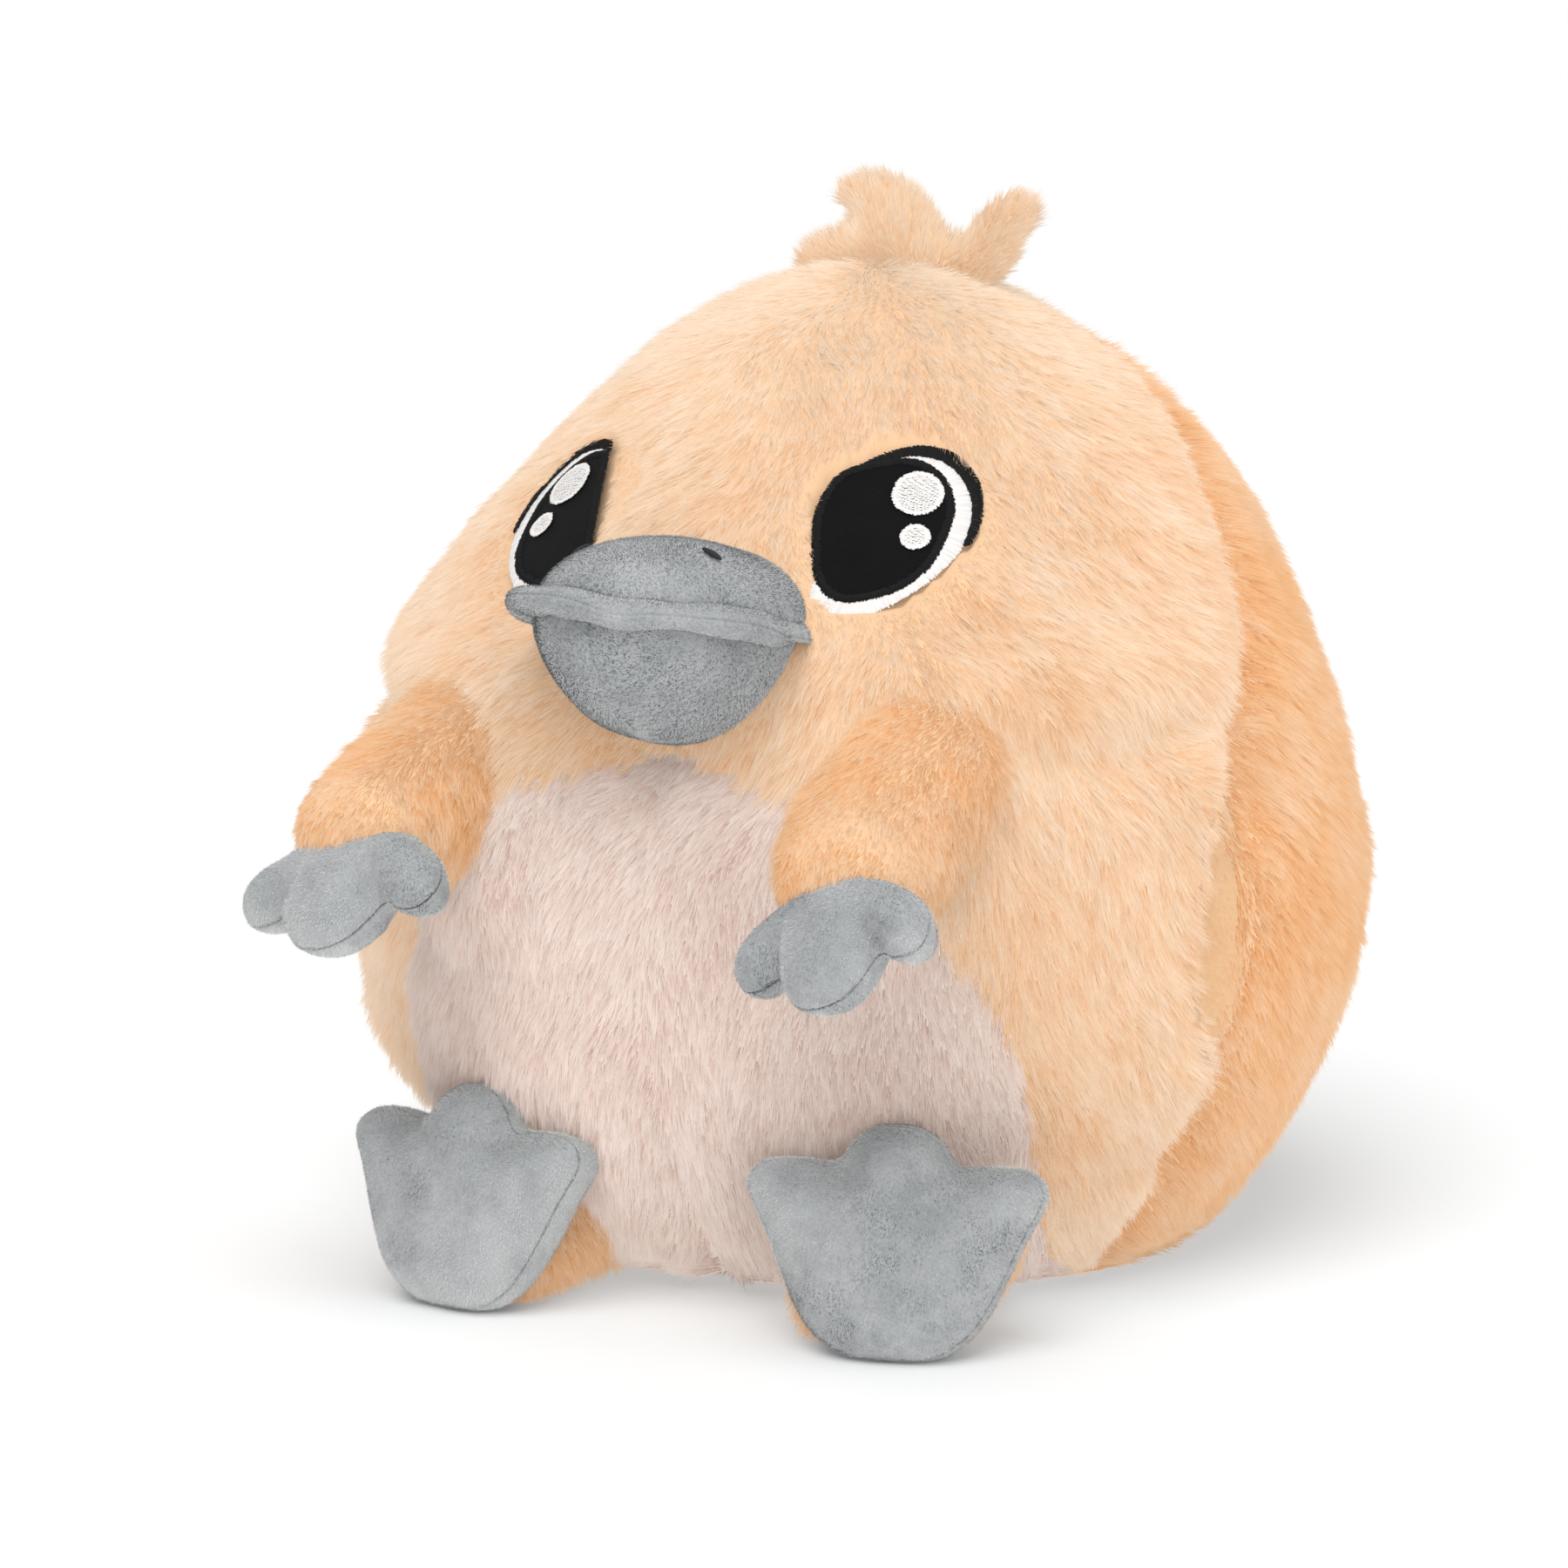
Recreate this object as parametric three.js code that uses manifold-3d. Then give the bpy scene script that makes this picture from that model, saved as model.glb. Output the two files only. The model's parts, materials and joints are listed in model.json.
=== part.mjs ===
// Plush platypus hand warmer: a round stuffed body with a lined pocket from side to side.
// Millimetres, +Z up. The toy faces -Y and its left side is +X. The origin is on the floor
// under the middle of the belly.

import * as THREE from "three";
import { mergeVertices } from "three/addons/utils/BufferGeometryUtils.js";
import Module from "manifold-3d";

const wasm = await Module();
wasm.setup();

// Fits between the pieces
const gap = 0.3;
const jointClearance = 0.6;
const ballClearance = 1;
const socketClearance = 2.4;

// Body: round sections, widest at the belly, that lean back at the head
const bellyRadius = 156;
const bellyHeight = 114;
const crownHeight = 301;
const crownPower = 1.8;
const underDepth = 150;
const headLean = 17;
const leanFromHeight = 184;
const leanToHeight = 254;
const coverThickness = 6;
const baseSeamHeight = 10;

// Hand pocket: an oval tunnel between the two side slits
const pocketWidth = 30;
const pocketLength = 90;
const pocketHeight = 110;
const pocketForward = 62;
const liningThickness = 2;

// Side seam between front and back, as distances forward of the middle
const seamFloorForward = 44;
const seamBulge = 6;
const seamNeckForward = 31;
const seamNeckHeight = 188;
const seamCrownForward = -38;
const seamCrownHeight = 272;

// Belly panel, seen from the front
const bellyTopHeight = 167;
const bellyShoulderHalfWidth = 58;
const bellyShoulderHeight = 144;
const bellyHalfWidth = 97;
const bellyWideHeight = 82;
const bellyFootHalfWidth = 88;

// Eyes: embroidered patches sunk into the pile, as points across and up from the eye's middle
const eyeAngle = 27;
const eyeHeight = 224;
const eyeRecess = 4.2;
const patchThickness = 1.2;
const pupilOutline = [
  [-3, 30.5],
  [6, 28],
  [12, 20.5],
  [14, 11],
  [12, 0],
  [8, -10.5],
  [-0.5, -19],
  [-12, -22.5],
  [-19.5, -20.5],
  [-24.5, -12.5],
  [-26, 0.5],
  [-25.5, 14],
  [-19, 26.5],
];
const whiteOutline = [
  [-2, 31.5],
  [7.5, 31],
  [14.5, 26],
  [19, 16],
  [19, 4.5],
  [15, -6.5],
  [6, -17.5],
  [-4.5, -25],
  [-13, -28],
  [-21, -25.5],
  [-26, -17],
  [-20, -8],
  [-15, 10],
  [-9, 26],
];
const rimOutline = [
  [-21, 13],
  [-19, 23],
  [-12.5, 30],
  [-2.5, 34.7],
  [6.5, 35.6],
  [15, 32],
  [20.5, 23.5],
  [22.3, 13],
  [20.5, 1.5],
  [17.5, -2],
  [10, 4],
  [4, 16],
  [-8, 22],
];
const largeGlint = { across: 3.2, up: 16.6, halfWidth: 7.4, halfHeight: 8.2 };
const smallGlint = { across: 3.3, up: 0, halfWidth: 4.2, halfHeight: 4.6 };

// Bill: two stuffed halves sewn together along a flange
const billHeight = 200.5;
const billTilt = 9;
const billHalfWidth = 36;
const billLength = 54;
const billRise = 23;
const billDrop = 35;
const flangeWidth = 7;
const flangeCornerWidth = 2.5;
const flangeThickness = 5;
const velboaThickness = 2;
const nostrilAcross = 19.5;
const nostrilShare = 0.43;
const nostrilLength = 6;
const nostrilWidth = 1.8;

// Crest: a tuft of three lobes on the crown, as points across and above the crown
const crestThickness = 13;
const crestSwing = 25;
const crestOutline = [
  [-28, -4],
  [-26, 2],
  [-20, 6],
  [-10.5, 12],
  [-16, 20],
  [-11, 24],
  [0, 26],
  [12.5, 20.5],
  [25, 7],
  [36, 15.5],
  [45, 19],
  [53.5, 13],
  [47.5, 4],
  [41, -7],
  [28, -12],
  [0, -7],
  [-20, -10],
];

// Arms: furry sleeves that swing at rounded shoulders
const shoulderAngle = 31;
const shoulderHeight = 162;
const shoulderDepth = 5;
const shoulderRadius = 27;
const armLength = 53;
const armDrop = 28;
const armSplay = 6;
const wristRadius = 21;
const sleeveThickness = 5;

// Hands: three lobes that droop from the wrist, as points across and along
const handDroop = 17;
const handHalfThickness = 10;
const handOutline = [
  [15, -6],
  [17, 4],
  [24, 12],
  [29, 21],
  [27, 28],
  [20.5, 29],
  [14.5, 24.5],
  [12.5, 31],
  [7.5, 38],
  [0, 40.5],
];

// Feet: webbed pads that stand up on their heels, tucked in from the belly's front, as points across
// and above the floor
const footAcross = 67;
const footTuck = 8;
const footTilt = 14;
const footTurn = 12;
const footHalfThickness = 15;
const heelHeight = 14;
const footOutline = [
  [0, -0.5],
  [13, 1],
  [23, 8],
  [30, 20],
  [37, 34],
  [42.5, 45.5],
  [41, 52],
  [33, 55],
  [24, 54.5],
  [18, 53.5],
  [15, 56],
  [12.5, 60.5],
  [7, 64.5],
  [0, 65.5],
];

// Legs: short furry stubs behind the pads, rooted inside the body
const legRadius = 24;
const legRootDepth = 64;
const legRootHeight = 26;

// Pads: how far their swell reaches past the outline, and how much of it the filling takes
const padSpread = 1.09;
const fillingSpread = 0.62;
const fillingShrink = 0.97;

// Fineness of the curved surfaces
const bodySegments = 24;
const underRows = 3;
const upperRows = 8;
const edgeSteps = 2;
const padSteps = 1;
const ovalSteps = 16;
const glintSteps = 10;
const seamSteps = 12;
const domeSegments = 16;
const domeRows = 4;
const limbSegments = 12;
const limbRows = 3;
const ballSegments = 16;
const padSegments = 12;
const padRows = 6;
const mergeDistance = 1e-4;
const reach = 400;

// Colours, as in a soft daylight photograph
const peachFur = new THREE.MeshStandardMaterial({ color: 0xf3c48c, roughness: 1, metalness: 0 });
const creamFur = new THREE.MeshStandardMaterial({ color: 0xe3cfc4, roughness: 1, metalness: 0 });
const greyVelboa = new THREE.MeshStandardMaterial({ color: 0x8a9498, roughness: 0.9, metalness: 0 });
const liningPlush = new THREE.MeshStandardMaterial({ color: 0xe6c7a2, roughness: 1, metalness: 0 });
const fibreFilling = new THREE.MeshStandardMaterial({ color: 0xf4f2ee, roughness: 1, metalness: 0 });
const blackVelvet = new THREE.MeshStandardMaterial({ color: 0x101012, roughness: 0.85, metalness: 0 });
const blackThread = new THREE.MeshStandardMaterial({ color: 0x18181a, roughness: 0.5, metalness: 0 });
const whiteThread = new THREE.MeshStandardMaterial({ color: 0xf2f2f4, roughness: 0.5, metalness: 0 });

const radians = THREE.MathUtils.degToRad;
const forwardAxis = new THREE.Vector3(0, -1, 0);
const sideAxis = new THREE.Vector3(1, 0, 0);
const upAxis = new THREE.Vector3(0, 0, 1);

// Turns a closed three.js geometry into a solid that can be cut and joined.
function solid(geometry) {
  const bare = new THREE.BufferGeometry();
  bare.setAttribute("position", geometry.getAttribute("position"));
  bare.setIndex(geometry.index);
  const merged = mergeVertices(bare, mergeDistance);
  const corners = merged.index.array;
  const triangles = [];
  for (let i = 0; i < corners.length; i += 3) {
    const [a, b, c] = corners.slice(i, i + 3);
    if (a !== b && b !== c && c !== a) triangles.push(a, b, c);
  }
  return new wasm.Manifold(
    new wasm.Mesh({
      numProp: 3,
      vertProperties: merged.getAttribute("position").array,
      triVerts: Uint32Array.from(triangles),
    }),
  );
}

// The same geometry on the toy's other side.
function mirrored(geometry) {
  const copy = mergeVertices(geometry.clone().deleteAttribute("normal").deleteAttribute("uv"));
  copy.scale(-1, 1, 1);
  copy.setIndex(Array.from(copy.index.array).reverse());
  return copy;
}

function bothSides(geometry) {
  return solid(geometry).add(solid(mirrored(geometry)));
}

function placed(geometry, matrix) {
  return geometry.clone().applyMatrix4(matrix);
}

// A frame whose third axis is square to the other two.
function frameAt(origin, across, up) {
  const out = new THREE.Vector3().crossVectors(across, up).normalize();
  return new THREE.Matrix4().makeBasis(across, up, out).setPosition(origin);
}

function closedOutline(points, steps) {
  const curve = new THREE.CatmullRomCurve3(
    points.map(([across, up]) => new THREE.Vector3(across, up, 0)),
    true,
    "centripetal",
  );
  return curve.getPoints(points.length * steps).slice(0, -1);
}

function grownOutline(points, amount) {
  const outline = points.map((point) => new THREE.Vector2(point.x, point.y));
  return outline.map((point, i) => {
    const before = outline[(i + outline.length - 1) % outline.length];
    const after = outline[(i + 1) % outline.length];
    const along = after.clone().sub(before).normalize();
    const turn = THREE.ShapeUtils.isClockWise(outline) ? -1 : 1;
    return new THREE.Vector2(point.x + along.y * amount * turn, point.y - along.x * amount * turn);
  });
}

function prism(points, from, to) {
  const shape = new THREE.Shape(points.map((point) => new THREE.Vector2(point.x, point.y)));
  return new THREE.ExtrudeGeometry(shape, { depth: to - from, bevelEnabled: false }).translate(0, 0, from);
}

function halfSpace(origin, out) {
  const across = Math.abs(out.x) < 0.5 ? sideAxis : upAxis;
  const up = new THREE.Vector3().crossVectors(out, across).normalize();
  const side = new THREE.Vector3().crossVectors(up, out).normalize();
  const block = new THREE.BoxGeometry(2 * reach, 2 * reach, reach).translate(0, 0, reach / 2);
  return solid(placed(block, frameAt(origin, side, up)));
}

// Half of an outline that is the same on both sides, completed across its middle line.
function wholeOutline(half, steps) {
  const onAxis = ([across]) => Math.abs(across) < mergeDistance;
  const other = half.filter((point) => !onAxis(point)).map(([across, up]) => [-across, up]);
  return closedOutline([...half, ...other.reverse()], steps);
}

// Body

function leanAt(height) {
  return headLean * THREE.MathUtils.smoothstep(height, leanFromHeight, leanToHeight);
}

// A point of the body's profile, from the belly (0) up to the crown (1) or down to the floor (-1).
function profilePoint(share, inset) {
  const turn = (Math.abs(share) * Math.PI) / 2;
  const rounding = 2 / crownPower;
  if (share >= 0) {
    const rise = crownHeight - bellyHeight;
    const across = Math.cos(turn) ** rounding;
    const up = Math.sin(turn) ** rounding;
    const normal = new THREE.Vector2(
      across ** (crownPower - 1) / bellyRadius,
      up ** (crownPower - 1) / rise,
    ).normalize();
    return new THREE.Vector2(
      bellyRadius * across - normal.x * inset,
      bellyHeight + rise * up - normal.y * inset,
    );
  }
  const normal = new THREE.Vector2(Math.cos(turn) / bellyRadius, -Math.sin(turn) / underDepth).normalize();
  return new THREE.Vector2(
    bellyRadius * Math.cos(turn) - normal.x * inset,
    bellyHeight - underDepth * Math.sin(turn) - normal.y * inset,
  );
}

// The share of the profile at a height, found by halving.
function shareAtHeight(height, inset) {
  let low = -1;
  let high = 1;
  for (let i = 0; i < 40; i += 1) {
    const middle = (low + high) / 2;
    if (profilePoint(middle, inset).y < height) low = middle;
    else high = middle;
  }
  return low;
}

// The body's outside, moved in by an inset and resting on a floor that rises with it.
function bodyGeometry(inset) {
  const start = shareAtHeight(inset, inset);
  const profile = [new THREE.Vector2(0, inset)];
  for (let i = 0; i < underRows; i += 1) profile.push(profilePoint(start * (1 - i / underRows), inset));
  for (let i = 0; i < upperRows; i += 1) profile.push(profilePoint(i / upperRows, inset));
  profile.push(new THREE.Vector2(0, crownHeight - inset));
  const geometry = new THREE.LatheGeometry(profile, bodySegments).rotateX(Math.PI / 2);
  const position = geometry.getAttribute("position");
  for (let i = 0; i < position.count; i += 1) position.setY(i, position.getY(i) + leanAt(position.getZ(i)));
  return geometry;
}

function body(inset) {
  return solid(bodyGeometry(inset));
}

function bodyPoint(angle, height) {
  const radius = profilePoint(shareAtHeight(height, 0), 0).x;
  const turn = radians(angle);
  return new THREE.Vector3(radius * Math.sin(turn), leanAt(height) - radius * Math.cos(turn), height);
}

// A frame that lies on the body, with its axes across, up the slope and out.
function bodyFrame(angle, height) {
  const turn = radians(angle);
  const across = new THREE.Vector3(Math.cos(turn), Math.sin(turn), 0);
  const up = bodyPoint(angle, height + 1).sub(bodyPoint(angle, height - 1)).normalize();
  return frameAt(bodyPoint(angle, height), across, up);
}

const bodySkin = body(0);
const bodyKeepOut = body(-gap);
const bodyShell = body(0).subtract(body(coverThickness));

// Pocket and side seam

const pocketFrame = frameAt(new THREE.Vector3(reach, 0, 0), forwardAxis, upAxis);

function pocketOval(growth) {
  const oval = new THREE.EllipseCurve(
    pocketForward,
    pocketHeight,
    pocketWidth / 2 + growth,
    pocketLength / 2 + growth,
  );
  return solid(placed(prism(oval.getPoints(ovalSteps).slice(0, -1), 0, 2 * reach), pocketFrame));
}

// Everything in front of the side seam, with the seam moved forward by an amount.
function inFrontOfSeam(amount) {
  const halfLength = pocketLength / 2;
  const seam = new THREE.SplineCurve([
    new THREE.Vector2(seamFloorForward, -baseSeamHeight),
    new THREE.Vector2(pocketForward, pocketHeight - halfLength),
    new THREE.Vector2(pocketForward + seamBulge, pocketHeight),
    new THREE.Vector2(pocketForward - seamBulge, pocketHeight + halfLength),
    new THREE.Vector2(seamNeckForward, seamNeckHeight),
    new THREE.Vector2(seamCrownForward, seamCrownHeight),
    new THREE.Vector2(2 * seamCrownForward, crownHeight + baseSeamHeight),
  ]).getPoints(seamSteps);
  const outline = seam.map((point) => new THREE.Vector2(point.x + amount, point.y));
  outline.push(new THREE.Vector2(2 * seamCrownForward, reach), new THREE.Vector2(reach, reach));
  outline.push(new THREE.Vector2(reach, -baseSeamHeight));
  return solid(placed(prism(outline, 0, 2 * reach), pocketFrame));
}

const bellyFrame = frameAt(new THREE.Vector3(), sideAxis, upAxis);

function bellyPrism(growth) {
  const half = [
    [0, bellyTopHeight],
    [bellyShoulderHalfWidth, bellyShoulderHeight],
    [(bellyShoulderHalfWidth + bellyHalfWidth) / 2 + seamBulge, (bellyShoulderHeight + bellyWideHeight) / 2],
    [bellyHalfWidth, bellyWideHeight],
    [bellyFootHalfWidth, baseSeamHeight],
    [bellyFootHalfWidth / 2, -baseSeamHeight],
    [0, -2 * baseSeamHeight],
  ];
  const outline = wholeOutline(half, edgeSteps);
  return solid(placed(prism(grownOutline(outline, growth), 0, reach), bellyFrame));
}

const aboveBase = halfSpace(new THREE.Vector3(0, 0, baseSeamHeight + gap), upAxis);
const underBase = halfSpace(new THREE.Vector3(0, 0, baseSeamHeight), upAxis.clone().negate());

// Eyes

const eyeFrame = bodyFrame(eyeAngle, eyeHeight);

function eyePrism(points, growth) {
  return placed(prism(grownOutline(points, growth), -reach / 4, reach / 4), eyeFrame);
}

function ovalOutline({ across, up, halfWidth, halfHeight }) {
  return new THREE.EllipseCurve(across, up, halfWidth, halfHeight).getPoints(glintSteps).slice(0, -1);
}

function layer(outerInset, innerInset) {
  return body(outerInset).subtract(body(innerInset));
}

const whiteEdge = closedOutline(whiteOutline, edgeSteps);
const pupilEdge = closedOutline(pupilOutline, edgeSteps);
const rimEdge = closedOutline(rimOutline, edgeSteps);
const whiteBottom = eyeRecess - gap;
const pupilBottom = whiteBottom - patchThickness - gap;
const glintBottom = pupilBottom - patchThickness - gap;

function eyeWhite() {
  return layer(whiteBottom - patchThickness, whiteBottom).intersect(solid(eyePrism(whiteEdge, 0)));
}

function eyePupil() {
  return layer(pupilBottom - patchThickness, pupilBottom).intersect(solid(eyePrism(pupilEdge, 0)));
}

function eyeRim() {
  const inside = solid(eyePrism(whiteEdge, gap)).add(solid(eyePrism(pupilEdge, gap)));
  const band = solid(eyePrism(rimEdge, 0)).subtract(inside);
  return layer(pupilBottom - patchThickness, whiteBottom).intersect(band);
}

function eyeGlint(oval) {
  const outline = solid(eyePrism(ovalOutline(oval), 0));
  return layer(glintBottom - patchThickness / 2, glintBottom).intersect(outline);
}

function eyeSockets() {
  const edges = [whiteEdge, pupilEdge, rimEdge].map((edge) => bothSides(eyePrism(edge, gap)));
  return edges[0].add(edges[1]).add(edges[2]).subtract(body(eyeRecess));
}

// Arms

const shoulderPoint = bodyPoint(shoulderAngle, shoulderHeight).addScaledVector(
  new THREE.Vector3().setFromMatrixColumn(bodyFrame(shoulderAngle, shoulderHeight), 2),
  -shoulderDepth,
);
const armAxis = new THREE.Vector3(
  Math.cos(radians(armDrop)) * Math.sin(radians(armSplay)),
  -Math.cos(radians(armDrop)) * Math.cos(radians(armSplay)),
  -Math.sin(radians(armDrop)),
);
const armSide = new THREE.Vector3().crossVectors(upAxis, armAxis).normalize();
const wristPoint = shoulderPoint.clone().addScaledVector(armAxis, armLength);

// A stuffed stub along its own Y: a ball at its root and a taper to a flat end.
function stubGeometry(rootRadius, endRadius, length, inset, overrun) {
  const tilt = Math.asin((rootRadius - endRadius) / length);
  const ball = rootRadius - inset;
  const profile = [new THREE.Vector2(0, -ball)];
  for (let i = 1; i <= limbRows; i += 1) {
    const turn = ((Math.PI / 2 + tilt) * i) / limbRows - Math.PI / 2;
    profile.push(new THREE.Vector2(ball * Math.cos(turn), ball * Math.sin(turn)));
  }
  profile.push(new THREE.Vector2(endRadius - inset, length + overrun));
  profile.push(new THREE.Vector2(0, length + overrun));
  return new THREE.LatheGeometry(profile, limbSegments);
}

function armStub(inset, overrun) {
  const stub = stubGeometry(shoulderRadius, wristRadius, armLength, inset, overrun);
  return solid(placed(stub, frameAt(shoulderPoint, armSide, armAxis)));
}

function shoulderBall(radius) {
  const ball = new THREE.SphereGeometry(radius, ballSegments, ballSegments / 2);
  return ball.translate(shoulderPoint.x, shoulderPoint.y, shoulderPoint.z);
}

// What an arm leaves to the body: all of it but the ball's place in the shoulder.
function armKeepOut(margin) {
  const ball = solid(shoulderBall(shoulderRadius + ballClearance - margin));
  return body(-jointClearance - margin).subtract(ball);
}

const shoulderSockets = bothSides(shoulderBall(shoulderRadius + socketClearance));

function sleeve() {
  const hollow = armStub(sleeveThickness, sleeveThickness).subtract(armKeepOut(sleeveThickness));
  return armStub(0, 0).subtract(armKeepOut(0)).subtract(hollow);
}

function armFilling() {
  const inside = sleeveThickness + gap;
  return armStub(inside, -gap).subtract(armKeepOut(inside));
}

// Stuffed pads, each sewn from two panels along its outline

function lens(points, spread, halfThickness) {
  const box = new THREE.Box2().setFromPoints(points);
  const size = box.getSize(new THREE.Vector2());
  const middle = box.getCenter(new THREE.Vector2());
  const ball = new THREE.SphereGeometry(1, padSegments, padRows).rotateX(Math.PI / 2);
  ball.scale((size.x / 2) * spread, (size.y / 2) * spread, halfThickness);
  return ball.translate(middle.x, middle.y, 0);
}

function pad(points, halfThickness, frame) {
  const edge = prism(points, -halfThickness, halfThickness);
  const swollen = lens(points, padSpread, halfThickness);
  return solid(placed(swollen, frame)).intersect(solid(placed(edge, frame)));
}

// The two panels of a pad and the filling in its middle.
function padPieces(points, halfThickness, frame, trim) {
  const origin = new THREE.Vector3().setFromMatrixPosition(frame);
  const out = new THREE.Vector3().setFromMatrixColumn(frame, 2);
  const hollow = lens(points, fillingSpread, halfThickness - velboaThickness);
  const filling = lens(points, fillingSpread * fillingShrink, halfThickness - velboaThickness - gap);
  const shell = trim(pad(points, halfThickness, frame).subtract(solid(placed(hollow, frame))));
  const half = (direction) => {
    const start = origin.clone().addScaledVector(direction, gap / 2);
    return shell.intersect(halfSpace(start, direction));
  };
  return {
    outer: half(out),
    inner: half(out.clone().negate()),
    filling: trim(solid(placed(filling, frame))),
  };
}

// Hands

const handAxis = armAxis.clone().applyAxisAngle(armSide, radians(handDroop));
const handFrame = frameAt(wristPoint, armSide, handAxis);

function handPieces() {
  const behindWrist = halfSpace(wristPoint.clone().addScaledVector(armAxis, gap), armAxis.clone().negate());
  const trim = (piece) => piece.subtract(behindWrist).subtract(bodyKeepOut);
  return padPieces(wholeOutline(handOutline, padSteps), handHalfThickness, handFrame, trim);
}

// Feet and legs

const footOrigin = new THREE.Vector3(footAcross, footTuck - bellyRadius, 0);
const footSide = new THREE.Vector3(Math.cos(radians(footTurn)), Math.sin(radians(footTurn)), 0);
const footUp = upAxis.clone().applyAxisAngle(footSide, -radians(footTilt));
const footFrame = frameAt(footOrigin, footSide, footUp);
const heelPoint = footOrigin.clone().addScaledVector(footUp, heelHeight);
const below = (height) => halfSpace(new THREE.Vector3(0, 0, height), upAxis.clone().negate());
const underFloor = below(0);

function footPieces() {
  const trim = (piece) => piece.subtract(body(-jointClearance)).subtract(underFloor);
  return padPieces(wholeOutline(footOutline, padSteps), footHalfThickness, footFrame, trim);
}

// The room that a heel needs while its pad tips forward.
function heelRoom() {
  const outline = wholeOutline(footOutline, padSteps);
  const edge = grownOutline(outline, jointClearance);
  const rest = pad(edge, footHalfThickness + jointClearance, footFrame);
  const radius = Math.hypot(heelHeight, footHalfThickness / 2) + jointClearance;
  const roll = new THREE.CylinderGeometry(radius, radius, 4 * legRadius, limbSegments).rotateZ(Math.PI / 2);
  return rest.add(solid(placed(roll, footFrame.clone().setPosition(heelPoint))));
}

function legStub(inset, overrun) {
  const root = new THREE.Vector3(footAcross, legRootDepth - bellyRadius, legRootHeight);
  const axis = heelPoint.clone().sub(root);
  const length = axis.length();
  axis.normalize();
  const stub = stubGeometry(legRadius, legRadius, length, inset, overrun);
  const side = new THREE.Vector3().crossVectors(upAxis, axis).normalize();
  return solid(placed(stub, frameAt(root, side, axis)));
}

function legCover() {
  const hollow = legStub(sleeveThickness, sleeveThickness).subtract(below(sleeveThickness));
  return legStub(0, 0).subtract(hollow).subtract(bodyKeepOut).subtract(heelRoom()).subtract(underFloor);
}

function legFilling() {
  const inset = sleeveThickness + gap;
  return legStub(inset, 0).subtract(bodyKeepOut).subtract(heelRoom()).subtract(below(inset));
}

// Bill

const billForward = forwardAxis.clone().applyAxisAngle(sideAxis, -radians(billTilt));
const billUp = upAxis.clone().applyAxisAngle(sideAxis, -radians(billTilt));
const billRoot = bodyPoint(0, billHeight);

// Half of a swollen bill, from its flat mouth side out to its rise along a direction.
function dome(inset, rise, direction) {
  const profile = [new THREE.Vector2(0, 0)];
  for (let i = 0; i < domeRows; i += 1) {
    const turn = (i / domeRows) * (Math.PI / 2);
    profile.push(new THREE.Vector2(Math.cos(turn), Math.sin(turn)));
  }
  profile.push(new THREE.Vector2(0, 1));
  const half = new THREE.LatheGeometry(profile, domeSegments);
  half.scale(billHalfWidth - inset, rise - inset, billLength - inset);
  const across = new THREE.Vector3().crossVectors(direction, billForward).normalize();
  return solid(placed(half, frameAt(billRoot, across, direction)));
}

function billPanel(rise, direction) {
  const seat = billRoot.clone().addScaledVector(direction, flangeThickness / 2 + gap);
  const hollow = dome(velboaThickness, rise, direction);
  const shell = dome(0, rise, direction).subtract(hollow).subtract(bodyKeepOut);
  return shell.intersect(halfSpace(seat, direction));
}

function billFilling() {
  const inside = velboaThickness + gap;
  const halves = dome(inside, billRise, billUp).add(dome(inside, billDrop, billUp.clone().negate()));
  return halves.subtract(bodyKeepOut);
}

function flangeOval(sideGrowth, frontGrowth, halfThickness) {
  const oval = new THREE.EllipseCurve(0, 0, billHalfWidth + sideGrowth, billLength + frontGrowth);
  const plate = prism(oval.getPoints(2 * ovalSteps).slice(0, -1), -halfThickness, halfThickness);
  return solid(placed(plate, frameAt(billRoot, sideAxis, billForward)));
}

function billFlange() {
  const hole = flangeOval(-velboaThickness, -velboaThickness, flangeThickness);
  const plate = flangeOval(flangeCornerWidth, flangeWidth, flangeThickness / 2);
  return plate.subtract(hole).subtract(bodyKeepOut);
}

// A stitch that lies along the slope of the upper half.
function nostril(growth) {
  const along = nostrilShare * billLength;
  const rest = 1 - (nostrilAcross / billHalfWidth) ** 2 - nostrilShare ** 2;
  const stitch = new THREE.SphereGeometry(1, limbSegments / 2, limbRows);
  stitch.scale(nostrilLength / 2 + growth, nostrilWidth / 2 + growth, nostrilWidth / 2 + growth);
  const middle = billRoot
    .clone()
    .addScaledVector(sideAxis, nostrilAcross)
    .addScaledVector(billForward, along)
    .addScaledVector(billUp, billRise * Math.sqrt(rest));
  const slope = Math.atan2(billRise * nostrilAcross, billHalfWidth ** 2 * Math.sqrt(rest));
  const [across, outward] = [sideAxis, billUp].map((axis) => axis.clone().applyAxisAngle(billForward, -slope));
  return placed(stitch, frameAt(middle, across, outward));
}

// Crest

const crestHinge = new THREE.Vector3(0, leanAt(crownHeight), crownHeight - coverThickness / 2);

// The crown, as the crest meets it when it has swung by an angle.
function crownFromCrest(angle) {
  const geometry = bodyGeometry(-gap).translate(-crestHinge.x, -crestHinge.y, -crestHinge.z);
  geometry.rotateX(radians(angle));
  return solid(geometry.translate(crestHinge.x, crestHinge.y, crestHinge.z));
}

function crestTuft() {
  const foot = new THREE.Vector3(0, leanAt(crownHeight), crownHeight);
  let piece = pad(closedOutline(crestOutline, padSteps), crestThickness / 2, frameAt(foot, sideAxis, upAxis));
  for (const share of [-1, -0.5, 0, 0.5, 1]) piece = piece.subtract(crownFromCrest(share * crestSwing));
  return piece;
}

function crestPanel(direction) {
  const start = crestHinge.clone().addScaledVector(direction, gap / 2);
  return crestTuft().intersect(halfSpace(start, direction));
}

// Assembly

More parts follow.
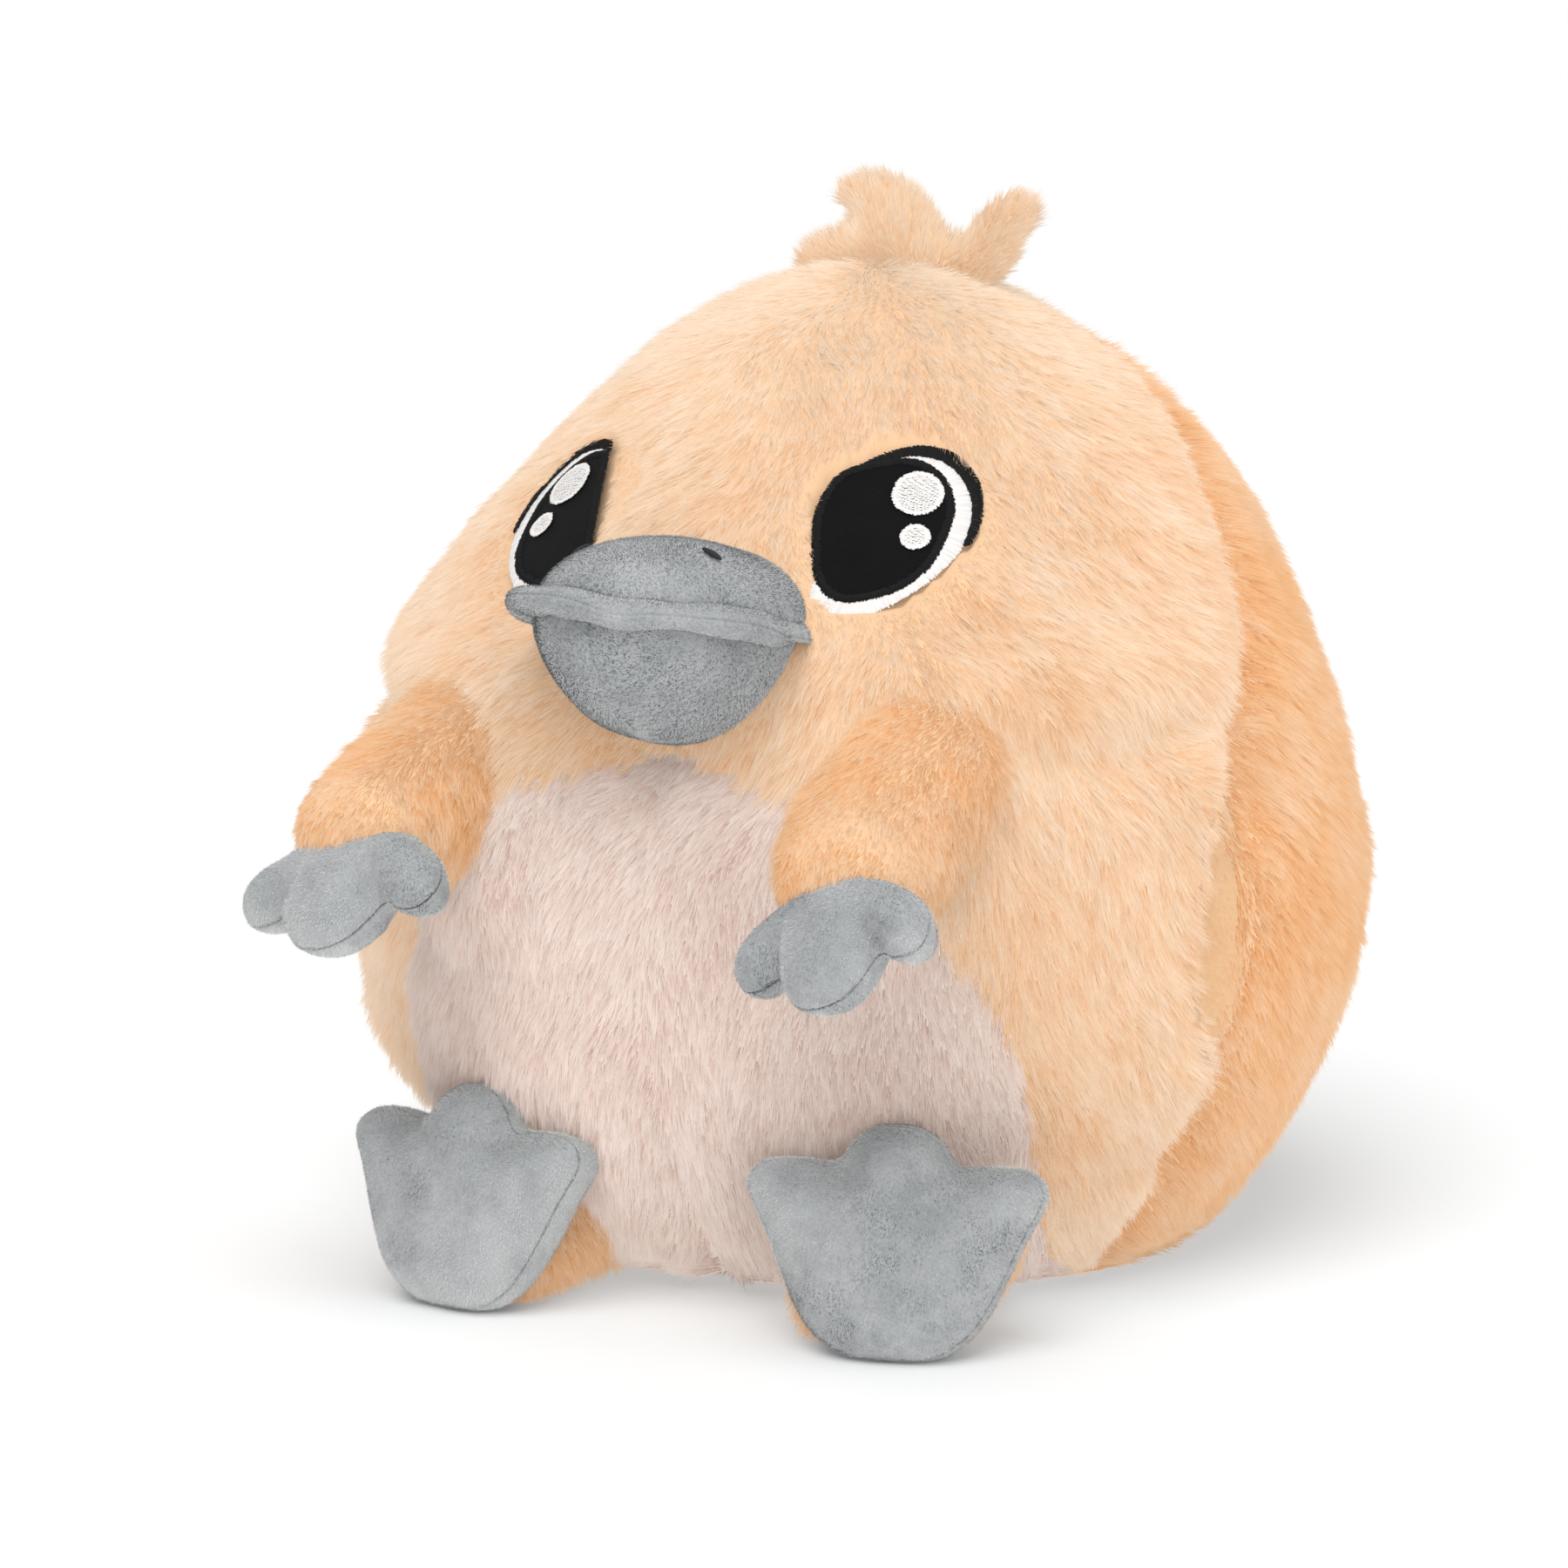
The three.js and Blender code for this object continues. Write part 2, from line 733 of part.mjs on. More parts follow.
const toy = new THREE.Group();
const leftSide = new THREE.Group();
const rightSide = new THREE.Group();
rightSide.scale.x = -1;
toy.add(leftSide, rightSide);

function meshOf(name, piece, material) {
  const { vertProperties, triVerts } = piece.getMesh();
  const geometry = new THREE.BufferGeometry();
  geometry.setAttribute("position", new THREE.BufferAttribute(vertProperties, 3));
  geometry.setIndex(new THREE.BufferAttribute(triVerts, 1));
  geometry.computeVertexNormals();
  const mesh = new THREE.Mesh(geometry, material);
  mesh.name = name;
  return mesh;
}

function addMiddle(name, piece, material) {
  toy.add(meshOf(name, piece, material));
}

function addPair(name, piece, material) {
  leftSide.add(meshOf(`left_${name}`, piece, material));
  rightSide.add(meshOf(`right_${name}`, piece, material));
}

const pocketRoom = pocketOval(liningThickness + gap);
const sideShell = bodyShell.intersect(aboveBase).subtract(shoulderSockets);
const frontShell = sideShell.intersect(inFrontOfSeam(gap / 2)).subtract(pocketRoom);
addMiddle("front_cover", frontShell.subtract(bellyPrism(gap)).subtract(eyeSockets()), peachFur);
addMiddle("belly_cover", frontShell.intersect(bellyPrism(0)), creamFur);
addMiddle("back_cover", sideShell.subtract(inFrontOfSeam(-gap / 2)).subtract(pocketRoom), peachFur);
addMiddle("base_cover", bodyShell.intersect(underBase), peachFur);
const pocketTube = pocketOval(liningThickness).subtract(pocketOval(0));
addMiddle("pocket_lining", pocketTube.intersect(bodySkin), liningPlush);

const stuffing = body(coverThickness + gap).subtract(pocketRoom).subtract(shoulderSockets);
addMiddle("front_filling", stuffing.intersect(inFrontOfSeam(gap / 2)), fibreFilling);
addMiddle("back_filling", stuffing.subtract(inFrontOfSeam(-gap / 2)), fibreFilling);

addPair("eye_white", eyeWhite(), whiteThread);
addPair("eye_pupil", eyePupil(), blackVelvet);
addPair("eye_rim", eyeRim(), blackThread);
addPair("eye_large_glint", eyeGlint(largeGlint), whiteThread);
addPair("eye_small_glint", eyeGlint(smallGlint), whiteThread);

const nostrils = bothSides(nostril(gap));
addMiddle("bill_upper", billPanel(billRise, billUp).subtract(nostrils), greyVelboa);
addMiddle("bill_lower", billPanel(billDrop, billUp.clone().negate()), greyVelboa);
addMiddle("bill_flange", billFlange(), greyVelboa);
addMiddle("bill_filling", billFilling(), fibreFilling);
addPair("nostril", solid(nostril(0)), blackThread);

addMiddle("crest_front", crestPanel(forwardAxis), peachFur);
addMiddle("crest_back", crestPanel(forwardAxis.clone().negate()), peachFur);

addPair("sleeve", sleeve(), peachFur);
addPair("arm_filling", armFilling(), fibreFilling);
const hand = handPieces();
addPair("hand_back", hand.inner, greyVelboa);
addPair("hand_palm", hand.outer, greyVelboa);
addPair("hand_filling", hand.filling, fibreFilling);

addPair("leg_cover", legCover(), peachFur);
addPair("leg_filling", legFilling(), fibreFilling);
const foot = footPieces();
addPair("foot_front", foot.outer, greyVelboa);
addPair("foot_back", foot.inner, greyVelboa);
addPair("foot_filling", foot.filling, fibreFilling);

export default toy;
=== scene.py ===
"""Looks of the plush hand warmer: its furs, velboa pads, stitched eyes and the studio round it."""
import json
import math
from dataclasses import dataclass

import bmesh
import bpy
import numpy as np
from mathutils import Matrix, Vector
from mathutils.bvhtree import BVHTree
from mathutils.kdtree import KDTree

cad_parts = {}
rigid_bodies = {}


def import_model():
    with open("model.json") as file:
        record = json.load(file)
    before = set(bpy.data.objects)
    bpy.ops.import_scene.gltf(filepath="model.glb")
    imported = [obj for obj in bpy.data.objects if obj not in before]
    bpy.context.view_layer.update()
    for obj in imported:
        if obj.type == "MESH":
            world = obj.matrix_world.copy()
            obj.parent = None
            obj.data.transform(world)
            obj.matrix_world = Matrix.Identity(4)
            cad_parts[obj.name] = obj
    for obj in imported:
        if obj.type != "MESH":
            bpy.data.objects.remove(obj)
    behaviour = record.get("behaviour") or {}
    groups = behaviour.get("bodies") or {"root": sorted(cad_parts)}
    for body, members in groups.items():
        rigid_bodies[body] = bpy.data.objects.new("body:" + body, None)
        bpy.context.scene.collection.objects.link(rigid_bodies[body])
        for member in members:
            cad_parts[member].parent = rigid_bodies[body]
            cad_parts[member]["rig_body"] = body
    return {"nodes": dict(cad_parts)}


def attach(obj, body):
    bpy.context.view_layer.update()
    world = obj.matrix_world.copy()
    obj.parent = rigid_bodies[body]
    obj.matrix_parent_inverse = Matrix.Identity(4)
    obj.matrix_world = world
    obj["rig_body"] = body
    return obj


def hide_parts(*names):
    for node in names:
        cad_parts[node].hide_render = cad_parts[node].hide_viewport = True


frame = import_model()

scene = bpy.context.scene
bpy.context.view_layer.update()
mm = 0.001

# Body, as the solids have it
belly_radius = 156 * mm
belly_height = 114 * mm
crown_height = 301 * mm
crown_power = 1.8
under_depth = 150 * mm
head_lean = 17 * mm
lean_from = 184 * mm
lean_to = 254 * mm
skin_depth = 2.2 * mm

# Hand pocket: the slit's middle forward and up, and half its width and height
slit_forward = 62 * mm
slit_height = 110 * mm
slit_half_width = 11 * mm
slit_half_height = 45 * mm
lining_half_width = 3 * mm

# Eyes
eye_middle = np.array((54.072, -95.813, 224)) * mm
eye_across = np.array((0.8910, 0.4540, 0))
eye_up = np.array((-0.2170, 0.6760, 0.7040))
eye_out = np.cross(eye_across, eye_up)
pupil_points = [(-3, 30.5), (6, 28), (12, 20.5), (14, 11), (12, 0), (8, -10.5), (-0.5, -19), (-12, -22.5),
                (-19.5, -20.5), (-24.5, -12.5), (-26, 0.5), (-25.5, 14), (-19, 26.5)]
white_points = [(-2, 31.5), (7.5, 31), (14.5, 26), (19, 16), (19, 4.5), (15, -6.5), (6, -17.5), (-4.5, -25), (-13, -28),
                (-21, -25.5), (-26, -17), (-20, -8), (-15, 10), (-9, 26)]
rim_points = [(-21, 13), (-19, 23), (-12.5, 30), (-2.5, 34.7), (6.5, 35.6), (15, 32), (20.5, 23.5), (22.3, 13),
              (20.5, 1.5), (17.5, -2), (10, 4), (4, 16), (-8, 22)]
large_glint = ((3.2, 16.6), (7.4, 8.2))
small_glint = ((3.3, 0), (4.2, 4.6))
right_eye_shift = 9 * mm
right_eye_inner = (-22.5 * mm, 0.57)

# Bill
bill_root = Vector((0, -130.605 * mm, 200.5 * mm))
bill_tilt = math.radians(9)
bill_half_width = 36 * mm
bill_length = 54 * mm
bill_rise = 23 * mm
bill_drop = 35 * mm

# Crest
crest_foot = Vector((0, 17 * mm, 301 * mm))
crest_points = [(-28, -4), (-26, 2), (-20, 6), (-10.5, 12), (-16, 20), (-11, 24), (0, 26), (12.5, 20.5), (25, 7),
                (36, 15.5), (45, 19), (53.5, 13), (47.5, 4), (41, -7), (28, -12), (0, -7), (-20, -10)]

# Limbs
shoulder = Vector((73.937, -123.051, 160.596)) * mm
wrist = Vector((78.828, -169.591, 135.714)) * mm
shoulder_radius = 27 * mm
wrist_radius = 21 * mm
sleeve_root = shoulder + Vector((-5, 2, -3)) * mm
arm_axis = (wrist - shoulder).normalized()
arm_side = Vector((0, 0, 1)).cross(arm_axis).normalized()
hand_axis = Matrix.Rotation(math.radians(17), 3, arm_side) @ arm_axis
hand_half = [(11, -6), (14, 4), (24, 12), (29, 21), (27, 28), (20.5, 29), (14.5, 24.5), (12.5, 31), (7.5, 38), (0, 40.5)]
hand_rolls = {"left": 25, "right": -16}
hand_widths = {"left": 1.08, "right": 1.35}
wrists = {"left": wrist + Vector((-8, -3, 1)) * mm, "right": wrist + Vector((-3, 0, 5)) * mm}
foot_middle = Vector((67, -148, 0)) * mm
foot_side = Vector((math.cos(math.radians(12)), math.sin(math.radians(12)), 0))
foot_up = Matrix.Rotation(math.radians(-14), 3, foot_side) @ Vector((0, 0, 1))
foot_half = [(0, -0.5), (13, 1), (23, 8), (30, 20), (36, 34), (41.5, 45), (40, 51), (33, 53.5), (24, 53.5), (18, 52.5),
             (15, 54.5), (12.5, 59), (7, 63), (0, 64)]
foot_shifts = {"left": 5 * mm, "right": -2 * mm}
leg_root = Vector((57, -92, 26)) * mm
heel = foot_middle + foot_up * 14 * mm
leg_radius = 24 * mm
thigh_radius = 30 * mm


# Small sums

def smoothstep(value, low, high):
    share = np.clip((value - low) / (high - low), 0, 1)
    return share * share * (3 - 2 * share)


def ridge(distance, width):
    return np.exp(-((distance / width) ** 2))


def unit(vectors):
    return vectors / np.maximum(np.linalg.norm(vectors, axis=-1, keepdims=True), 1e-9)


def turned(vectors, axes, angles):
    """Vectors turned about axes that are square to them."""
    angles = angles[:, None]
    return vectors * np.cos(angles) + np.cross(axes, vectors) * np.sin(angles)


class Noise:
    """Smooth noise from -1 to 1, in cells of one size."""

    def __init__(self, size, seed):
        self.size = size
        self.table = np.random.default_rng(seed).uniform(-1, 1, (32, 32, 32))

    def __call__(self, points):
        cells = np.asarray(points) / self.size
        base = np.floor(cells).astype(int)
        part = cells - base
        part = part * part * (3 - 2 * part)
        value = np.zeros(len(cells))
        for corner in np.ndindex(2, 2, 2):
            share = np.prod(np.where(corner, part, 1 - part), axis=1)
            x, y, z = ((base + corner) % 32).T
            value += share * self.table[x, y, z]
        return value


def closed_curve(points, steps):
    """A smooth closed line through points, with a number of steps between each two."""
    points = np.asarray(points, float)
    before, after, later = (np.roll(points, shift, axis=0) for shift in (1, -1, -2))
    found = []
    for share in np.arange(steps) / steps:
        found.append(0.5 * (2 * points + (after - before) * share
                            + (2 * before - 5 * points + 4 * after - later) * share ** 2
                            + (3 * points - before - 3 * after + later) * share ** 3))
    return np.stack(found, axis=1).reshape(-1, 2)


def both_halves(half):
    other = [(-across, up) for across, up in half if abs(across) > 1e-6]
    return [*half, *reversed(other)]


def grown(edge, amount):
    """A closed line moved out by an amount."""
    along = unit(np.roll(edge, -1, axis=0) - np.roll(edge, 1, axis=0))
    out = np.stack([along[:, 1], -along[:, 0]], axis=1)
    area = np.cross(edge, np.roll(edge, -1, axis=0)).sum()
    return edge + out * amount * np.sign(area)


def inside(points, edge):
    """Which points lie within a closed line."""
    x, y = points[:, :1], points[:, 1:2]
    (x0, y0), (x1, y1) = edge.T, np.roll(edge, -1, axis=0).T
    rise = np.where(y1 == y0, 1e-12, y1 - y0)
    crosses = ((y0 > y) != (y1 > y)) & (x < (x1 - x0) * (y - y0) / rise + x0)
    return crosses.sum(axis=1) % 2 == 1


def edge_distance(points, edge):
    start, along = edge, np.roll(edge, -1, axis=0) - edge
    reach = points[:, None] - start
    share = np.clip((reach * along).sum(-1) / np.maximum((along ** 2).sum(-1), 1e-12), 0, 1)
    return np.linalg.norm(reach - share[..., None] * along, axis=-1).min(axis=1)


def line_distance(points, start, end):
    """Distance to a short line and how far along it the nearest place is, from 0 to 1."""
    start, along = np.asarray(start, float), np.subtract(end, start)
    share = np.clip(((points - start) @ along) / (along @ along), 0, 1)
    return np.linalg.norm(points - start - share[:, None] * along, axis=1), share


def on_left(points):
    """Points of either side as they lie on the toy's left."""
    return np.abs(points) * (1, 0, 0) + points * (0, 1, 1)


def lean(height):
    return head_lean * smoothstep(height, lean_from, lean_to)


def body_reach(height):
    """The body's radius at a height."""
    up = np.clip((height - belly_height) / (crown_height - belly_height), 0, 1) ** crown_power
    down = np.clip((belly_height - height) / under_depth, 0, 1) ** 2
    return belly_radius * np.where(up > 0, (1 - up) ** (1 / crown_power), np.sqrt(1 - down))


def depth_in_body(points):
    x, y, z = points.T
    return body_reach(z) - np.hypot(x, y - lean(z))


# Finishes

class Value:
    """A shader socket that can stand in a sum, as in 1 - mask."""

    def __init__(self, nodes, socket):
        self.nodes = nodes
        self.socket = socket

    def math(self, operation, first, second):
        return self.nodes.add("Math", {"operation": operation}, {0: first, 1: second})

    def __add__(self, other):
        return self.math("ADD", self, other)

    def __radd__(self, other):
        return self.math("ADD", other, self)

    def __sub__(self, other):
        return self.math("SUBTRACT", self, other)

    def __rsub__(self, other):
        return self.math("SUBTRACT", other, self)

    def __mul__(self, other):
        return self.math("MULTIPLY", self, other)

    def __rmul__(self, other):
        return self.math("MULTIPLY", other, self)


class Nodes:
    """A node tree that grows by one node at a time."""

    def __init__(self, tree):
        self.tree = tree

    def feed(self, socket, value):
        if isinstance(value, Value):
            self.tree.links.new(value.socket, socket)
        else:
            socket.default_value = value

    def add(self, kind, settings=None, inputs=None, output=0):
        node = self.tree.nodes.new("ShaderNode" + kind)
        for name, value in (settings or {}).items():
            if name == "stops":
                while len(node.color_ramp.elements) < len(value):
                    node.color_ramp.elements.new(1)
                for element, (place, color) in zip(node.color_ramp.elements, value):
                    element.position = place
                    element.color = color
            else:
                setattr(node, name, value)
        for name, value in (inputs or {}).items():
            self.feed(node.inputs[name], value)
        return Value(self, node.outputs[output])

    def mixed(self, share, first, second):
        return self.add("Mix", {"data_type": "RGBA"}, {0: share, 6: first, 7: second}, output=2)


class Finish(Nodes):
    """A material whose constants sit on its own surface shader."""

    def __init__(self, name, **constants):
        self.material = bpy.data.materials.new(name)
        self.material.use_nodes = True
        super().__init__(self.material.node_tree)
        self.surface = self.tree.nodes["Principled BSDF"]
        for socket, value in constants.items():
            self.surface.inputs[socket.replace("_", " ")].default_value = value

    def set(self, socket, value):
        self.feed(self.surface.inputs[socket], value)

    def places(self):
        return self.add("TexCoord", output=3)

    def noise(self, scale, detail=2.0, roughness=0.5):
        inputs = {"Vector": self.places(), "Scale": scale, "Detail": detail, "Roughness": roughness}
        return self.add("TexNoise", None, inputs)

    def rough_up(self, height, strength, distance):
        self.set("Normal", self.add("Bump", None, {"Height": height, "Strength": strength, "Distance": distance}))


def paint(red, green, blue):
    """A colour from its screen values, 0 to 255."""
    def linear(value):
        value /= 255
        return value / 12.92 if value <= 0.04045 else ((value + 0.055) / 1.055) ** 2.4
    return (linear(red), linear(green), linear(blue), 1)


def strand_finish(name, deep, pale, **constants):
    """Strands that go from root to tip colours, each strand at its own shade between deep and pale."""
    finish = Finish(name, **constants)
    spot = finish.add("UVMap", {"uv_map": "OFBake"})
    shade = finish.add("SeparateXYZ", None, {0: spot}, output=0)
    along = finish.add("SeparateXYZ", None, {0: spot}, output=1)
    ramps = [finish.add("ValToRGB", {"stops": stops}, {0: along}) for stops in (deep, pale)]
    finish.set("Base Color", finish.mixed(shade, *ramps))
    return finish.material


def cloth_finish(name, dark, light, scale, strength, **constants):
    """A cloth with soft patches of tone and a fine grain."""
    finish = Finish(name, **constants)
    patches = finish.noise(60, 4)
    grain = finish.noise(scale, 3)
    finish.set("Base Color", finish.mixed((patches * 0.7 + grain * 0.3) * 2 - 0.5, dark, light))
    finish.set("Roughness", 0.75 + grain * 0.2)
    finish.rough_up(grain, strength, 0.6 * mm)
    return finish.material


fur_gloss = {"Roughness": 0.85, "Sheen_Weight": 0.05, "Sheen_Roughness": 0.5, "Specular_IOR_Level": 0.1}
nap_gloss = {"Roughness": 0.85, "Sheen_Weight": 0.3, "Sheen_Roughness": 0.35, "Specular_IOR_Level": 0.2}
thread_gloss = {"Roughness": 0.45, "Specular_IOR_Level": 0.4}

# In the peach and cream furs the roots run deeper and darker than the tips. This is partly the fur's own colour and
# partly painted shade deep in the pile, since most strands cast no shadow.
peach_fur = strand_finish(
    "peach fur",
    [(0, paint(210, 130, 70)), (0.65, paint(228, 170, 118)), (1, paint(234, 190, 146))],
    [(0, paint(230, 184, 138)), (0.65, paint(238, 210, 183)), (1, paint(241, 223, 203))],
    **fur_gloss)
cream_fur = strand_finish(
    "cream fur",
    [(0, paint(184, 138, 122)), (0.65, paint(220, 196, 184)), (1, paint(231, 212, 201))],
    [(0, paint(214, 184, 169)), (0.65, paint(241, 225, 215)), (1, paint(246, 233, 225))],
    **fur_gloss)
grey_nap = strand_finish(
    "grey velboa nap",
    [(0, paint(84, 88, 92)), (1, paint(112, 117, 121))],
    [(0, paint(190, 192, 192)), (1, paint(228, 228, 227))],
    **nap_gloss)
white_thread = strand_finish(
    "white embroidery thread",
    [(0, paint(218, 214, 212)), (1, paint(226, 222, 220))],
    [(0, paint(240, 237, 235)), (1, paint(246, 243, 240))],
    **thread_gloss)
black_thread = strand_finish(
    "black embroidery thread",
    [(0, paint(8, 8, 9)), (1, paint(12, 12, 13))],
    [(0, paint(18, 18, 20)), (1, paint(24, 24, 26))],
    Roughness=0.7, Specular_IOR_Level=0.15)
peach_backing = cloth_finish(
    "peach fur backing", paint(232, 186, 142), paint(239, 200, 160), 900, 0.4, Sheen_Weight=0.2)
cream_backing = cloth_finish(
    "cream fur backing", paint(224, 206, 196), paint(234, 218, 208), 900, 0.4, Sheen_Weight=0.2)
grey_backing = cloth_finish(
    "grey velboa", paint(140, 144, 147), paint(186, 188, 189), 1400, 0.6, Sheen_Weight=0.5)
pocket_plush = cloth_finish(
    "pocket plush", paint(222, 176, 130), paint(238, 202, 160), 700, 0.8, Sheen_Weight=0.4)
black_velvet = cloth_finish(
    "black velvet", paint(6, 6, 7), paint(16, 16, 18), 1600, 0.8, Specular_IOR_Level=0.1)
nostril_thread = cloth_finish(
    "dark nostril thread", paint(28, 30, 32), paint(52, 56, 58), 1800, 0.8, Specular_IOR_Level=0.3)


# Meshes

def read(items, name, width, kind=np.float32):
    values = np.empty(len(items) * width, kind)
    items.foreach_get(name, values)
    return values.reshape(-1, width)


def mesh_of(shape):
    """A mesh from a bmesh, which is used up."""
    mesh = bpy.data.meshes.new("piece")
    shape.to_mesh(mesh)
    shape.free()
    mesh.shade_smooth()
    return mesh


def show(name, mesh, finish, body, nodes=()):
    """Puts a finished mesh in the scene as a piece that moves with a body."""
    mesh.name = name
    piece = bpy.data.objects.new(name, mesh)
    scene.collection.objects.link(piece)
    mesh.materials.append(finish)
    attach(piece, body)
    if nodes:
        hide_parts(*nodes)
    return piece


def spun(points, steps):
    """A closed round shape from radius and height points."""
    shape = bmesh.new()
    line = [shape.verts.new((radius, 0, height)) for radius, height in points]
    edges = [shape.edges.new(pair) for pair in zip(line, line[1:])]
    bmesh.ops.spin(shape, geom=[*line, *edges], axis=(0, 0, 1), cent=(0, 0, 0), angle=math.tau, steps=steps,
                   use_merge=True)
    bmesh.ops.remove_doubles(shape, verts=shape.verts, dist=1e-6)
    bmesh.ops.recalc_face_normals(shape, faces=shape.faces)
    return shape


def placed(shape, origin, across, up, side=1):
    """Moves a bmesh from its own across, up and out axes to the toy, and to the other side for -1."""
    out = across.cross(up).normalized()
    matrix = Matrix((across, up, out)).transposed().to_4x4()
    matrix.translation = origin
    shape.transform(Matrix.Diagonal((side, 1, 1, 1)) @ matrix)
    if side < 0:
        bmesh.ops.reverse_faces(shape, faces=shape.faces)
    return shape


def points_of(shape):
    return np.array([vert.co for vert in shape.verts])


def move_to(shape, points):
    for vert, point in zip(shape.verts, points):
        vert.co = point
    shape.normal_update()


class Surface:
    """A piece's triangles, on which a pile can grow."""

    def __init__(self, piece):
        mesh = piece.data
        mesh.calc_loop_triangles()
        self.points = read(mesh.vertices, "co", 3)
        self.normals = read(mesh.vertices, "normal", 3)
        self.triangles = read(mesh.loop_triangles, "vertices", 3, np.int32)
        a, b, c = (self.points[self.triangles[:, i]] for i in range(3))
        self.areas = np.linalg.norm(np.cross(b - a, c - a), axis=1) / 2

    def scatter(self, density, rng):
        """Roots spread evenly, with the normals there."""
        count = int(self.areas.sum() * density)
        ends = np.cumsum(self.areas)
        chosen = np.searchsorted(ends, (np.arange(count) + rng.random(count)) / count * ends[-1])
        corners = self.triangles[np.minimum(chosen, len(ends) - 1)]
        one, two = rng.random((2, count))
        over = one + two > 1
        one[over], two[over] = 1 - one[over], 1 - two[over]
        shares = np.stack([1 - one - two, one, two], axis=1)[..., None]
        return (self.points[corners] * shares).sum(axis=1), unit((self.normals[corners] * shares).sum(axis=1))


def strand_mesh(base, tips, shade, normals):
    """Strands that taper from base corners to tips: flat ones of two corners or round ones of three.
    base is strands x corners x 3. They take the light partly as the skin below them does, whose normals are given."""
    count, width = base.shape[:2]
    faces = [[0, 1, 2]] if width == 2 else [[(corner + 1) % width, corner, width] for corner in range(width)]
    corners = np.array(faces).ravel()
    number = np.arange(count)[:, None]
    mesh = bpy.data.meshes.new("strands")
    mesh.vertices.add(count * (width + 1))
    points = np.concatenate([base, tips[:, None]], axis=1)
    mesh.vertices.foreach_set("co", points.astype(np.float32).ravel())
    mesh.loops.add(count * len(corners))
    mesh.loops.foreach_set("vertex_index", (number * (width + 1) + corners).astype(np.int32).ravel())
    mesh.polygons.add(count * len(faces))
    mesh.polygons.foreach_set("loop_start", np.arange(count * len(faces), dtype=np.int32) * 3)
    mesh.update(calc_edges=True)
    spread = 0.012
    across = np.append(np.linspace(-spread, spread, width), 0)[corners]
    along = np.append(np.zeros(width), 1)[corners]
    spots = np.stack([shade[:, None] + across, np.broadcast_to(along, (count, len(corners)))], axis=-1)
    mesh.uv_layers.new(name="OFBake").data.foreach_set("uv", spots.astype(np.float32).ravel())
    first, second, third = (points[:, [face[i] for face in faces]] for i in range(3))
    own = unit(np.cross(second - first, third - first))
    shading = unit(skin_share * normals[:, None] + (1 - skin_share) * own)
    mesh.shade_smooth()
    mesh.normals_split_custom_set(np.repeat(shading, 3, axis=1).reshape(-1, 3))
    return mesh


@dataclass
class Pile:
    """How a fur grows: strands per square metre, its sizes in metres, its lean in degrees, and its locks."""
    density: float
    length: float
    width: float
    lean: float
    lock: float
    tuft: float
    pull: float


skin_share = 0.4
guard_share = 0.16
crown_painted_light = 0.25
patch_noise = Noise(26 * mm, 11)
fine_patch_noise = Noise(9 * mm, 12)
broad_swirl = Noise(45 * mm, 13)
fine_swirl = Noise(13 * mm, 14)
grain_noise = Noise(2.6 * mm, 15)
floor_clearance = 0.6 * mm
nap_density = 4.2e6
nap_length = 1.1 * mm
nap_half_width = 0.14 * mm
row_pitch = 1.25 * mm
most_strands = 66000


def nearest_guides(roots, spacing, density, rng):
    """For each root, the number of the nearest of some roots that stand about a spacing apart."""
    count = max(1, int(len(roots) / (density * spacing ** 2)))
    guides = rng.choice(len(roots), min(count, len(roots)), replace=False)
    tree = KDTree(len(guides))
    for number, guide in enumerate(guides):
        tree.insert(roots[guide], number)
    tree.balance()
    return guides[[tree.find(root)[1] for root in roots]]


